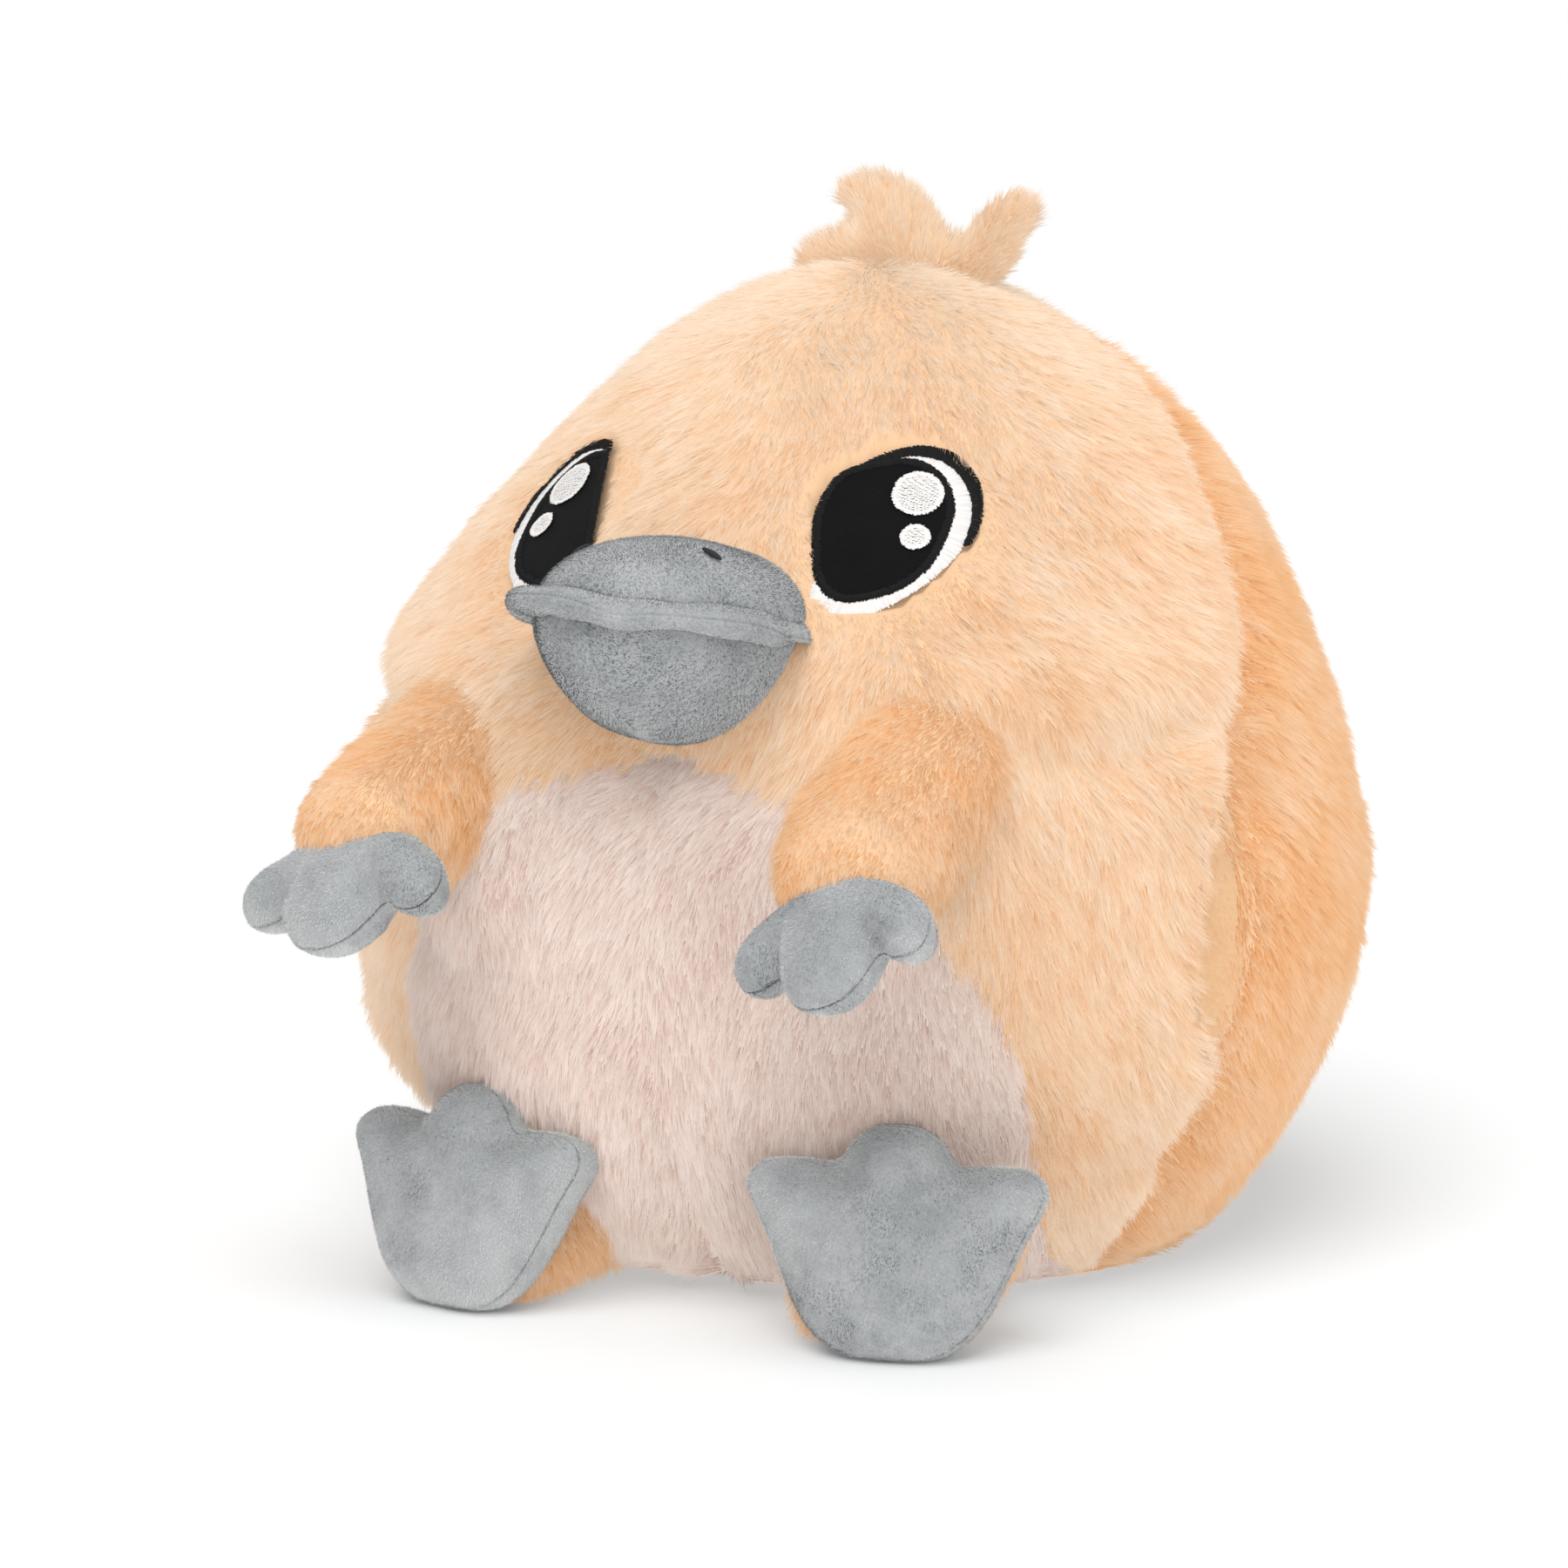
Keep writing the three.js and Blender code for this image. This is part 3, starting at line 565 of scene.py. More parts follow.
def grow(name, piece, pile, finish, comb, seed, trim=None, bare=None, base_tone=0.5):
    """Grows a fur on a piece, combed along a field. trim gives each root's share of the length, 0 for none, and no
    strand comes where bare says so. Light passes between fine hairs, so only the guard hairs hold it back."""
    rng = np.random.default_rng(seed)
    roots, normals = Surface(piece).scatter(pile.density, rng)
    share = np.ones(len(roots)) if trim is None else trim(roots)
    kept = share > 0.05
    roots, normals, share = roots[kept], normals[kept], share[kept]
    along = comb(roots, normals)
    along = unit(along - normals * (along * normals).sum(axis=1, keepdims=True))
    along = turned(along, normals, 0.5 * broad_swirl(roots) + 0.35 * fine_swirl(roots))
    locks = nearest_guides(roots, pile.lock, pile.density, rng)
    tufts = nearest_guides(roots, pile.tuft, pile.density, rng)
    lock_tone = rng.uniform(-1, 1, len(roots))[locks]
    tuft_tone = rng.uniform(-1, 1, len(roots))[tufts]
    length = pile.length * share * rng.uniform(0.8, 1.08, len(roots)) * (1 + 0.1 * lock_tone + 0.06 * tuft_tone)
    along = turned(along, normals, 0.2 * lock_tone + rng.normal(0, 0.12, len(roots)))
    laid_by_weight = 10 * smoothstep(normals[:, 2], 0.2, 0.8)
    tilt = np.radians(pile.lean + laid_by_weight + rng.normal(0, 5, len(roots)) - 6 * lock_tone)[:, None]
    tips = roots + (normals * np.cos(tilt) + along * np.sin(tilt)) * length[:, None]
    for guides, strength in ((locks, pile.pull), (tufts, 0.35 * pile.pull)):
        strength = strength * (0.75 + 0.4 * lock_tone[:, None])
        tips = tips + strength * (tips[guides] - tips)
    starts = roots - normals * 0.5 * mm
    heading = unit(tips - starts)
    flat = unit(np.cross(heading, normals))
    face = np.cross(flat, heading)
    roll = rng.uniform(-0.5, 0.5, len(roots))[:, None, None]
    turns = roll + math.pi / 2 + np.arange(3)[:, None] * math.tau / 3
    out = flat[:, None] * np.cos(turns) + face[:, None] * np.sin(turns)
    base = starts[:, None] + out * pile.width / 2
    for points in (base, tips):
        points[..., 2] = np.maximum(points[..., 2], floor_clearance)
    tone = base_tone + 0.2 * patch_noise(roots) + 0.16 * fine_patch_noise(roots) + 0.16 * lock_tone
    tone += 0.1 * tuft_tone + rng.uniform(-0.12, 0.12, len(roots))
    # Painted light: the fur is made paler toward the crown, where the fur on top shows lighter.
    tone += crown_painted_light * smoothstep(roots[:, 2], 235 * mm, 290 * mm)
    tone = np.clip(tone, 0.02, 0.98)
    order = rng.permutation(len(roots))
    if bare is not None:
        covers = np.any([bare(roots + (tips - roots) * share) for share in (0, 0.5, 1)], axis=0)
        order = order[~covers[order]]
    guards = int(guard_share * len(order))
    piece.visible_diffuse = False
    parts = [order[:guards], *np.array_split(order[guards:], math.ceil((len(order) - guards) / most_strands))]
    for number, part in enumerate(parts):
        strands = strand_mesh(base[part], tips[part], tone[part], normals[part])
        fur = show(f"{name}_{number}", strands, finish, piece["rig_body"])
        fur.visible_shadow = number == 0
        fur.visible_diffuse = False


def grow_nap(name, piece, comb, seed, row_axis=(0.35, 0.3, 0.9), row_tone=0.1, base_tone=0.5):
    """Grows the short nap of velboa, with the fine rows of its knit."""
    rng = np.random.default_rng(seed)
    roots, normals = Surface(piece).scatter(nap_density, rng)
    along = comb(roots, normals)
    along = unit(along - normals * (along * normals).sum(axis=1, keepdims=True))
    along = turned(along, normals, 0.6 * broad_swirl(roots) + rng.normal(0, 0.35, len(roots)))
    tilt = np.radians(rng.normal(60, 10, len(roots)))[:, None]
    heading = normals * np.cos(tilt) + along * np.sin(tilt)
    tips = roots + heading * (nap_length * rng.uniform(0.6, 1.1, len(roots)))[:, None]
    flat = unit(np.cross(heading, normals))
    face = np.cross(flat, heading)
    roll = rng.uniform(-0.8, 0.8, len(roots))[:, None]
    side = (flat * np.cos(roll) + face * np.sin(roll)) * nap_half_width
    starts = roots - normals * 0.2 * mm
    base = np.stack([starts - side, starts + side], axis=1)
    for points in (base, tips):
        points[..., 2] = np.maximum(points[..., 2], floor_clearance)
    warp = 1.5 * mm * broad_swirl(roots) + 0.5 * mm * fine_swirl(roots)
    rows = np.sin((roots @ np.array(row_axis) + warp) * math.tau / row_pitch)
    tone = base_tone + 0.5 * patch_noise(roots) + 0.45 * fine_patch_noise(roots) + 0.25 * grain_noise(roots)
    tone = np.clip(tone + row_tone * rows + rng.uniform(-0.15, 0.15, len(roots)), 0.02, 0.98)
    show(name, strand_mesh(base, tips, tone, normals), grey_nap, piece["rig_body"])


# Body

panel_names = ["front_cover", "belly_cover", "back_cover", "base_cover"]
base_rows, under_rows, upper_rows, body_steps = 8, 28, 72, 300


def tree_of(node):
    mesh = frame["nodes"][node].data
    return BVHTree.FromPolygons([vert.co for vert in mesh.vertices], [face.vertices for face in mesh.polygons])


def body_profile():
    """Radius and height of the body's outside, from the middle of the base up to the crown."""
    floor_turn = math.asin(belly_height / under_depth)
    foot = belly_radius * math.cos(floor_turn)
    points = [(foot * i / base_rows, 0) for i in range(base_rows)]
    for i in range(under_rows):
        turn = floor_turn * (1 - i / under_rows)
        points.append((belly_radius * math.cos(turn), belly_height - under_depth * math.sin(turn)))
    rounding = 2 / crown_power
    for i in range(upper_rows):
        turn = math.pi / 2 * i / upper_rows
        rise = (crown_height - belly_height) * math.sin(turn) ** rounding
        points.append((belly_radius * math.cos(turn) ** rounding, belly_height + rise))
    return [*points, (0, crown_height)]


pupil_edge = closed_curve(pupil_points, 12) * mm
white_edge = closed_curve(white_points, 12) * mm
rim_edge = closed_curve(rim_points, 12) * mm
eye_edges = [pupil_edge, white_edge, rim_edge]


def eye_flat(points):
    reach = on_left(points) - eye_middle
    flat = np.stack([reach @ eye_across - right_eye_shift * (points[:, 0] < 0), reach @ eye_up], axis=1)
    near = (np.abs(flat).max(axis=1) < 50 * mm) & (reach @ eye_out > -40 * mm)
    return flat, near


def inner_line(flat):
    """Where the right eye's inner end goes under the fur, at the height of each point."""
    start, slope = right_eye_inner
    return start + slope * flat[:, 1]


def over_eyes(points, amount=-0.2 * mm):
    """Which points lie over the stitched eyes, whose edges are moved out by an amount."""
    flat, over = eye_flat(points)
    over &= (points[:, 0] > 0) | (flat[:, 0] > inner_line(flat))
    over[over] = np.any([inside(flat[over], grown(edge, amount)) for edge in eye_edges], axis=0)
    return over


def seam_form(points, distances):
    """How far the stuffed skin stands out from its even form: valleys at its seams and lips at the slits."""
    x, y, z = points.T
    front, belly, back, _ = distances.T
    behind = back < np.minimum(front, belly)
    to_side = np.where(behind, np.minimum(front, belly), back)
    to_belly = np.where(belly < front, front, belly)
    by_slit = smoothstep(z, 45 * mm, 75 * mm) * (1 - smoothstep(z, 150 * mm, 175 * mm))
    form = -4.5 * mm * ridge(to_side, 6 * mm)
    form += by_slit * np.where(behind, -7 * mm * ridge(to_side, 18 * mm), 4.5 * mm * ridge(to_side - 12 * mm, 11 * mm))
    form -= 2.5 * mm * ridge(to_belly, 5 * mm)
    turn = np.arctan2(np.abs(x), lean(z) - y)
    by_neck = smoothstep(turn, 0.62, 0.8) * (1 - smoothstep(turn, 1.0, 1.4))
    fold = z - 166 * mm - 14 * mm * (turn - 0.8)
    form += by_neck * (3.5 * mm * ridge(fold - 18 * mm, 14 * mm) - 4.5 * mm * ridge(fold, 9 * mm))
    to_arm, _ = line_distance(on_left(points), sleeve_root, wrist)
    inner_or_top = np.maximum(1 - smoothstep(turn, 0.5, 0.75), smoothstep(z, 168 * mm, 186 * mm))
    form += 9 * mm * inner_or_top * (1 - smoothstep(to_arm, 20 * mm, 48 * mm))
    form -= 9 * mm * (y < 0) * ridge(x, 34 * mm) * ridge(z - 166 * mm, 17 * mm)
    low_front = (y < 0) * (1 - smoothstep(z, 40 * mm, 80 * mm))
    form -= 3 * mm * low_front * ridge(x, 5 * mm)
    by_hip = smoothstep(turn, 0.65, 0.8) * (1 - smoothstep(turn, 1.15, 1.35))
    form -= 2.5 * mm * by_hip * ridge(z - 43 * mm, 5 * mm)
    form -= 3 * mm * over_eyes(points)
    return form + 1.2 * mm * Noise(55 * mm, 21)(points) + 1 * mm * Noise(24 * mm, 22)(points)


def make_body():
    """The four panels of the body's skin, by the name of their cover."""
    shape = spun(body_profile(), body_steps)
    for vert in shape.verts:
        vert.co.y += lean(vert.co.z)
    shape.normal_update()
    trees = [tree_of(name) for name in panel_names]
    distances = np.array([[tree.find_nearest(vert.co)[3] for tree in trees] for vert in shape.verts])
    outside = points_of(shape)
    distances[outside[:, 2] > 0.1 * mm, panel_names.index("base_cover")] = math.inf
    normals = np.array([vert.normal for vert in shape.verts])
    panel = shape.faces.layers.int.new("panel")
    for face in shape.faces:
        face[panel] = int(distances[[vert.index for vert in face.verts]].mean(axis=0).argmin())
    outside_tree = BVHTree.FromBMesh(shape)
    form = seam_form(outside, distances) - skin_depth
    move_to(shape, outside + normals * form[:, None])
    cut_openings(shape)
    panels = {}
    for number, name in enumerate(panel_names):
        part = shape.copy()
        others = [face for face in part.faces if face[part.faces.layers.int["panel"]] != number]
        bmesh.ops.delete(part, geom=others, context="FACES")
        panels[name] = mesh_of(part)
    shape.free()
    return panels, outside_tree


def slit_place(point):
    """A point's place in the slit's oval: below 1 is inside."""
    return math.hypot((point.y + slit_forward) / slit_half_width, (point.z - slit_height) / slit_half_height)


def cut_openings(shape):
    """Opens the skin at the two slits, with their edges turned in, and at the shoulders."""
    def at_slit(point):
        return abs(point.x) > belly_radius / 2 and slit_place(point) < 1

    def at_shoulder(point):
        return (Vector((abs(point.x), point.y, point.z)) - shoulder).length < 15 * mm
    gone = [face for face in shape.faces if at_slit(face.calc_center_median()) or at_shoulder(face.calc_center_median())]
    bmesh.ops.delete(shape, geom=gone, context="FACES")
    rim = [edge for edge in shape.edges if edge.is_boundary and slit_place(edge.verts[0].co) < 2]
    for vert in {vert for edge in rim for vert in edge.verts}:
        place = slit_place(vert.co)
        vert.co.y = (vert.co.y + slit_forward) / place - slit_forward
        vert.co.z = (vert.co.z - slit_height) / place + slit_height
    turned_in = bmesh.ops.extrude_edge_only(shape, edges=rim)["geom"]
    for vert in (item for item in turned_in if isinstance(item, bmesh.types.BMVert)):
        vert.co.x *= 0.96


panels, outside_tree = make_body()
front_skin = show("front_skin", panels["front_cover"], peach_backing, "body",
                  ["front_cover", "front_filling"])
belly_skin = show("belly_skin", panels["belly_cover"], cream_backing, "body", ["belly_cover"])
back_skin = show("back_skin", panels["back_cover"], peach_backing, "body",
                 ["back_cover", "back_filling"])
base_skin = show("base_skin", panels["base_cover"], peach_backing, "body", ["base_cover"])


def make_lining():
    """The pocket's tube from slit to slit, wrinkled and lying nearly flat as nothing is in it."""
    shape = bmesh.new()
    rows, steps = 100, 72
    ring = bmesh.ops.create_circle(shape, segments=steps, radius=1)["verts"]
    edges = list({edge for vert in ring for edge in vert.link_edges})
    for _ in range(rows):
        made = bmesh.ops.extrude_edge_only(shape, edges=edges)["geom"]
        edges = [item for item in made if isinstance(item, bmesh.types.BMEdge)]
        bmesh.ops.translate(shape, vec=(0, 0, 1 / rows), verts=[i for i in made if isinstance(i, bmesh.types.BMVert)])
    local = points_of(shape)
    place = 2 * local[:, 2] - 1
    end = smoothstep(np.abs(place), 0.84, 1)
    width = lining_half_width + (slit_half_width + 1 * mm - lining_half_width) * end
    points = np.empty_like(local)
    points[:, 1] = local[:, 0] * width - slit_forward
    points[:, 2] = local[:, 1] * (slit_half_height + 1 * mm) + slit_height
    reach = np.sqrt(body_reach(points[:, 2]) ** 2 - points[:, 1] ** 2) - 5 * mm
    points[:, 0] = place * reach
    wrinkle = 1.2 * mm * Noise(16 * mm, 31)(points)
    points[:, 1] += local[:, 0] * wrinkle
    points[:, 2] += local[:, 1] * wrinkle
    move_to(shape, points)
    bmesh.ops.recalc_face_normals(shape, faces=shape.faces)
    bmesh.ops.solidify(shape, geom=shape.faces, thickness=1.2 * mm)
    return mesh_of(shape)


show("pocket_plush_tube", make_lining(), pocket_plush, "body", ["pocket_lining"])


# Padded pieces

def voxel_mesh(shape, size):
    """A bmesh remeshed in even cells, as a bmesh."""
    block = bpy.data.objects.new("block", mesh_of(shape))
    scene.collection.objects.link(block)
    remesh = block.modifiers.new("Remesh", "REMESH")
    remesh.mode = "VOXEL"
    remesh.voxel_size = size
    return applied(block)


def applied(work):
    """The mesh of an object with its modifiers, as a bmesh. The object goes."""
    shape = bmesh.new()
    shape.from_object(work, bpy.context.evaluated_depsgraph_get())
    mesh = work.data
    bpy.data.objects.remove(work)
    bpy.data.meshes.remove(mesh)
    return shape


def stuffed(shape, pressure, most):
    """Swells a closed bmesh as stuffed cloth, with no point moved by more than a distance."""
    before = points_of(shape)
    work = bpy.data.objects.new("cloth", mesh_of(shape))
    scene.collection.objects.link(work)
    cloth = work.modifiers.new("Cloth", "CLOTH")
    cloth.settings.use_pressure = True
    cloth.settings.uniform_pressure_force = pressure
    cloth.settings.effector_weights.gravity = 0
    cloth.point_cache.frame_start = 1
    cloth.point_cache.frame_end = 20
    for number in range(1, 21):
        scene.frame_set(number)
    shape = applied(work)
    scene.frame_set(1)
    moved = points_of(shape) - before
    far = np.linalg.norm(moved, axis=1, keepdims=True)
    move_to(shape, before + moved * np.minimum(1, most / np.maximum(far, 1e-9)))
    return shape


def pillow(edge, half_thickness, rounding, creases, seed, cell=2.2 * mm, swell=2.5 * mm):
    """A stuffed pad within an outline, in its own across, up and out axes."""
    slab = 3 * mm
    edge = grown(edge, 0.8 * mm)
    shape = bmesh.new()
    face = shape.faces.new([shape.verts.new((across, up, -slab)) for across, up in edge])
    raised = bmesh.ops.extrude_face_region(shape, geom=[face])["geom"]
    bmesh.ops.translate(shape, vec=(0, 0, 2 * slab), verts=[i for i in raised if isinstance(i, bmesh.types.BMVert)])
    bmesh.ops.recalc_face_normals(shape, faces=shape.faces)
    shape = voxel_mesh(shape, cell)
    points = points_of(shape)
    depth = edge_distance(points[:, :2], edge) * inside(points[:, :2], edge)
    share = np.clip(depth / rounding, 0, 1)
    height = 1 * mm + (half_thickness - swell) * (share * (2 - share)) ** 0.6
    points[:, 2] = np.clip(points[:, 2] / slab, -1, 1) * height
    move_to(shape, points)
    bmesh.ops.smooth_vert(shape, verts=shape.verts, factor=0.5, use_axis_z=True)
    shape = stuffed(shape, 4, swell)
    for _ in range(2):
        bmesh.ops.smooth_vert(shape, verts=shape.verts, factor=0.5, use_axis_x=True, use_axis_y=True, use_axis_z=True)
    bmesh.ops.subdivide_edges(shape, edges=shape.edges, cuts=1, use_grid_fill=True)
    bmesh.ops.smooth_vert(shape, verts=shape.verts, factor=0.5, use_axis_x=True, use_axis_y=True, use_axis_z=True)
    points = points_of(shape)
    shift = 0.5 * mm * Noise(12 * mm, seed)(points)
    for start, end, width, deep in creases:
        far, share = line_distance(points[:, :2], np.multiply(start, mm), np.multiply(end, mm))
        shift = shift - deep * mm * ridge(far, width * mm) * (1 - share)
    points[:, 2] += shift * smoothstep(np.abs(points[:, 2]), 0, 4 * mm) * np.sign(points[:, 2])
    move_to(shape, points)
    return shape


def half_pad(shape, direction, level=0):
    """One panel of a pad, with its sewn edge at a level tucked in."""
    part = shape.copy()
    bmesh.ops.bisect_plane(part, geom=[*part.verts, *part.edges, *part.faces], plane_co=(0, 0, level),
                           plane_no=(0, 0, -direction), clear_outer=True)
    rim = [edge for edge in part.edges if edge.is_boundary]
    for vert in {vert for edge in rim for vert in edge.verts}:
        vert.co.z += direction * 0.3 * mm
    part.normal_update()
    tucked = bmesh.ops.extrude_edge_only(part, edges=rim)["geom"]
    for vert in (item for item in tucked if isinstance(item, bmesh.types.BMVert)):
        outward = Vector((vert.normal.x, vert.normal.y, 0)).normalized()
        vert.co -= outward * 2 * mm
    part.normal_update()
    return part


def above_floor(shape):
    for vert in shape.verts:
        vert.co.z = max(vert.co.z, floor_clearance)
    return shape


def downward(points, normals):
    return np.broadcast_to((0.0, 0.0, -1.0), points.shape)


hand_edge = closed_curve(both_halves(hand_half), 8) * mm
foot_edge = closed_curve(both_halves(foot_half), 8) * mm
hand_creases = [((side * 14.5, 25), (side * 10, 11), 2.6, 2) for side in (-1, 1)]
foot_creases = [((side * 20, 50), (side * 11, 33), 5, 1.8) for side in (-1, 1)]
foot_creases += [((side * 14, 50), (0, 46), 2.4, 2.4) for side in (-1, 1)]
foot_creases += [((side * 12, 55), (0, 54), 1.6, 1.4) for side in (-1, 1)]
sides = {"left": 1, "right": -1}

for name, side in sides.items():
    pad = pillow(hand_edge * (hand_widths[name], 1), 11.5 * mm, 9 * mm, hand_creases, 40 + side)
    across = Matrix.Rotation(math.radians(hand_rolls[name]), 3, hand_axis) @ arm_side
    for panel, direction in (("hand_palm", 1), ("hand_back", -1)):
        part = placed(half_pad(pad, direction), wrists[name], across, hand_axis, side)
        nodes = [f"{name}_{panel}"] + ([f"{name}_hand_filling"] if direction > 0 else [])
        piece = show(f"{name}_{panel}_pad", mesh_of(part), grey_backing, f"{name}_arm", nodes)
        grow_nap(f"{name}_{panel}_nap", piece, downward, 50 + side + direction, base_tone=0.7)
    pad.free()
    pad = pillow(foot_edge, 19 * mm, 19 * mm, foot_creases, 44 + side)
    middle = foot_middle + Vector((foot_shifts[name], 0, 0))
    for panel, direction in (("foot_front", 1), ("foot_back", -1)):
        part = above_floor(placed(half_pad(pad, direction, 4 * mm), middle, foot_side, foot_up, side))
        nodes = [f"{name}_{panel}"] + ([f"{name}_foot_filling"] if direction > 0 else [])
        piece = show(f"{name}_{panel}_pad", mesh_of(part), grey_backing, f"{name}_foot", nodes)
        grow_nap(f"{name}_{panel}_nap", piece, downward, 60 + side + direction, base_tone=0.78)
    pad.free()


# Bill

bill_side = Vector((-1, 0, 0))
bill_forward = Vector((0, -math.cos(bill_tilt), math.sin(bill_tilt)))
bill_up = Vector((0, math.sin(bill_tilt), math.cos(bill_tilt)))


def make_bill_half(rise, direction, seed):
    """A swollen half of the bill, puckered a little along its seam."""
    shape = bmesh.new()
    bmesh.ops.create_uvsphere(shape, u_segments=72, v_segments=48, radius=1)
    bmesh.ops.bisect_plane(shape, geom=[*shape.verts, *shape.edges, *shape.faces], plane_co=(0, 0, 0),
                           plane_no=(0, 0, -direction), clear_outer=True)
    local = points_of(shape)
    points = local * (bill_half_width, bill_length, rise)
    turn = np.arctan2(local[:, 0], local[:, 1])
    pucker = 0.5 * mm * np.sin(23 * turn + 2 * np.sin(5 * turn)) * ridge(local[:, 2], 0.25)
    lump = 0.7 * mm * Noise(17 * mm, seed)(points) + pucker
    move_to(shape, points + unit(local) * lump[:, None])
    return placed(shape, bill_root, bill_side, bill_forward)


flange_wave = [(-1.6, -7), (-1.41, -6.4), (-1.29, -5), (-1.05, -3), (-0.7, -2.5), (-0.44, -2.3), (-0.24, -3.5), (-0.14, -2.8),
               (0, -0.2), (0.26, 1.4), (0.7, 1.8), (1.2, 1), (1.6, 0)]


def make_flange():
    """The wavy sewn rim between the bill's halves: two layers with a stitched groove. The wave is by turn, in mm."""
    section = [(-3, 3.4), (2.5, 3.8), (5.4, 3.4), (7.2, 2.5), (7.8, 1.5), (7.4, 1), (7.9, 0.5), (7.8, -1), (7, -2.5),
               (5.2, -3.5), (2.5, -3.8), (-3, -3.4)]
    ring_radius = 100
    shape = spun([((ring_radius + out) * mm, up * mm) for out, up in section], 220)
    local = points_of(shape)
    turn = np.arctan2(local[:, 0], local[:, 1])
    out = np.hypot(local[:, 0], local[:, 1]) - ring_radius * mm
    taper = 1 - 0.6 * smoothstep(-turn, 1.1, 1.5)
    out = out * taper
    normal = unit(np.stack([np.sin(turn) / bill_half_width, np.cos(turn) / bill_length], axis=1))
    points = np.empty_like(local)
    points[:, 0] = np.sin(turn) * bill_half_width + normal[:, 0] * out
    points[:, 1] = np.cos(turn) * bill_length + normal[:, 1] * out
    shifts = np.linspace(-0.1, 0.1, 9)
    wave = np.mean([np.interp(turn + shift, *np.transpose(flange_wave)) for shift in shifts], axis=0)
    thick = 1 + 0.12 * np.sin(5 * turn + 1) + 0.06 * np.sin(13 * turn)
    points[:, 2] = local[:, 2] * thick * taper + wave * mm * smoothstep(out, -1 * mm, 6 * mm)
    move_to(shape, points)
    bmesh.ops.recalc_face_normals(shape, faces=shape.faces)
    return placed(shape, bill_root, bill_side, bill_forward)


def outward_from_bill(points, normals):
    along = points - np.array(bill_root)
    return along - 1.2 * np.abs(along) * (0, 0, 1)


bill_pieces = [
    ("bill_upper_pad", make_bill_half(bill_rise, 1, 71), ["bill_upper", "bill_filling"], 0.9, 0.15),
    ("bill_lower_pad", make_bill_half(bill_drop, -1, 72), ["bill_lower"], 0.9, 0.1),
    ("bill_rim", make_flange(), ["bill_flange"], None, 0.5),
]
for number, (name, shape, nodes, fill, tone) in enumerate(bill_pieces):
    piece = show(name, mesh_of(shape), grey_backing, "body", nodes)
    grow_nap(f"{name}_nap", piece, outward_from_bill, 80 + number, bill_up, 0.12, tone)


def make_nostril(side):
    """A sewn slit on the upper bill, along its slope."""
    across, share = 19.5 * mm, 0.43
    rest = math.sqrt(1 - (across / bill_half_width) ** 2 - share ** 2)
    slope = math.atan2(bill_rise * across, bill_half_width ** 2 * rest)
    shape = bmesh.new()
    bmesh.ops.create_icosphere(shape, subdivisions=3, radius=1)
    bmesh.ops.scale(shape, vec=(3.4 * mm, 0.9 * mm, 0.9 * mm), verts=shape.verts)
    for vert in shape.verts:
        vert.co.z += 0.9 * mm - (vert.co.x / (9 * mm)) ** 2 * mm
    middle = bill_root - bill_side * across + bill_forward * share * bill_length + bill_up * rest * bill_rise
    lengthwise = Matrix.Rotation(-slope, 3, bill_forward) @ bill_side
    return placed(shape, middle, lengthwise, bill_forward, side)


for name, side in sides.items():
    show(f"{name}_nostril_stitch", mesh_of(make_nostril(side)), nostril_thread, "body",
         [f"{name}_nostril"])


# Eyes

def edge_on(edge, side):
    """An eye's edge as it shows on a side: the right eye's inner end lies under the fur."""
    if side > 0:
        return edge
    return np.stack([np.maximum(edge[:, 0], inner_line(edge)), edge[:, 1]], axis=1)


def draped(flat, lift, side):
    """Points across and up on an eye, laid on the body and lifted along its normals."""
    shift = right_eye_shift if side < 0 else 0
    starts = eye_middle + (flat[:, :1] + shift) * eye_across + flat[:, 1:] * eye_up + 0.08 * eye_out
    found = [outside_tree.ray_cast(Vector(start), Vector(-eye_out)) for start in starts]
    places = np.array([hit[0] for hit in found])
    normals = np.array([hit[1] for hit in found])
    return (places + normals * np.reshape(lift, (-1, 1))) * (side, 1, 1)


def even_line(edge, pitch):
    """Points a pitch apart along a closed line, with the directions out of it."""
    closed = np.vstack([edge, edge[:1]])
    ends = np.concatenate([[0], np.cumsum(np.linalg.norm(np.diff(closed, axis=0), axis=1))])
    spots = np.arange(0, ends[-1], pitch)
    line = np.stack([np.interp(spots, ends, closed[:, i]) for i in range(2)], axis=1)
    along = unit(np.roll(line, -1, axis=0) - np.roll(line, 1, axis=0))
    out = np.stack([along[:, 1], -along[:, 0]], axis=1)
    return line, out * np.sign(np.cross(line, np.roll(line, -1, axis=0)).sum())


thread_pitch = 0.42 * mm


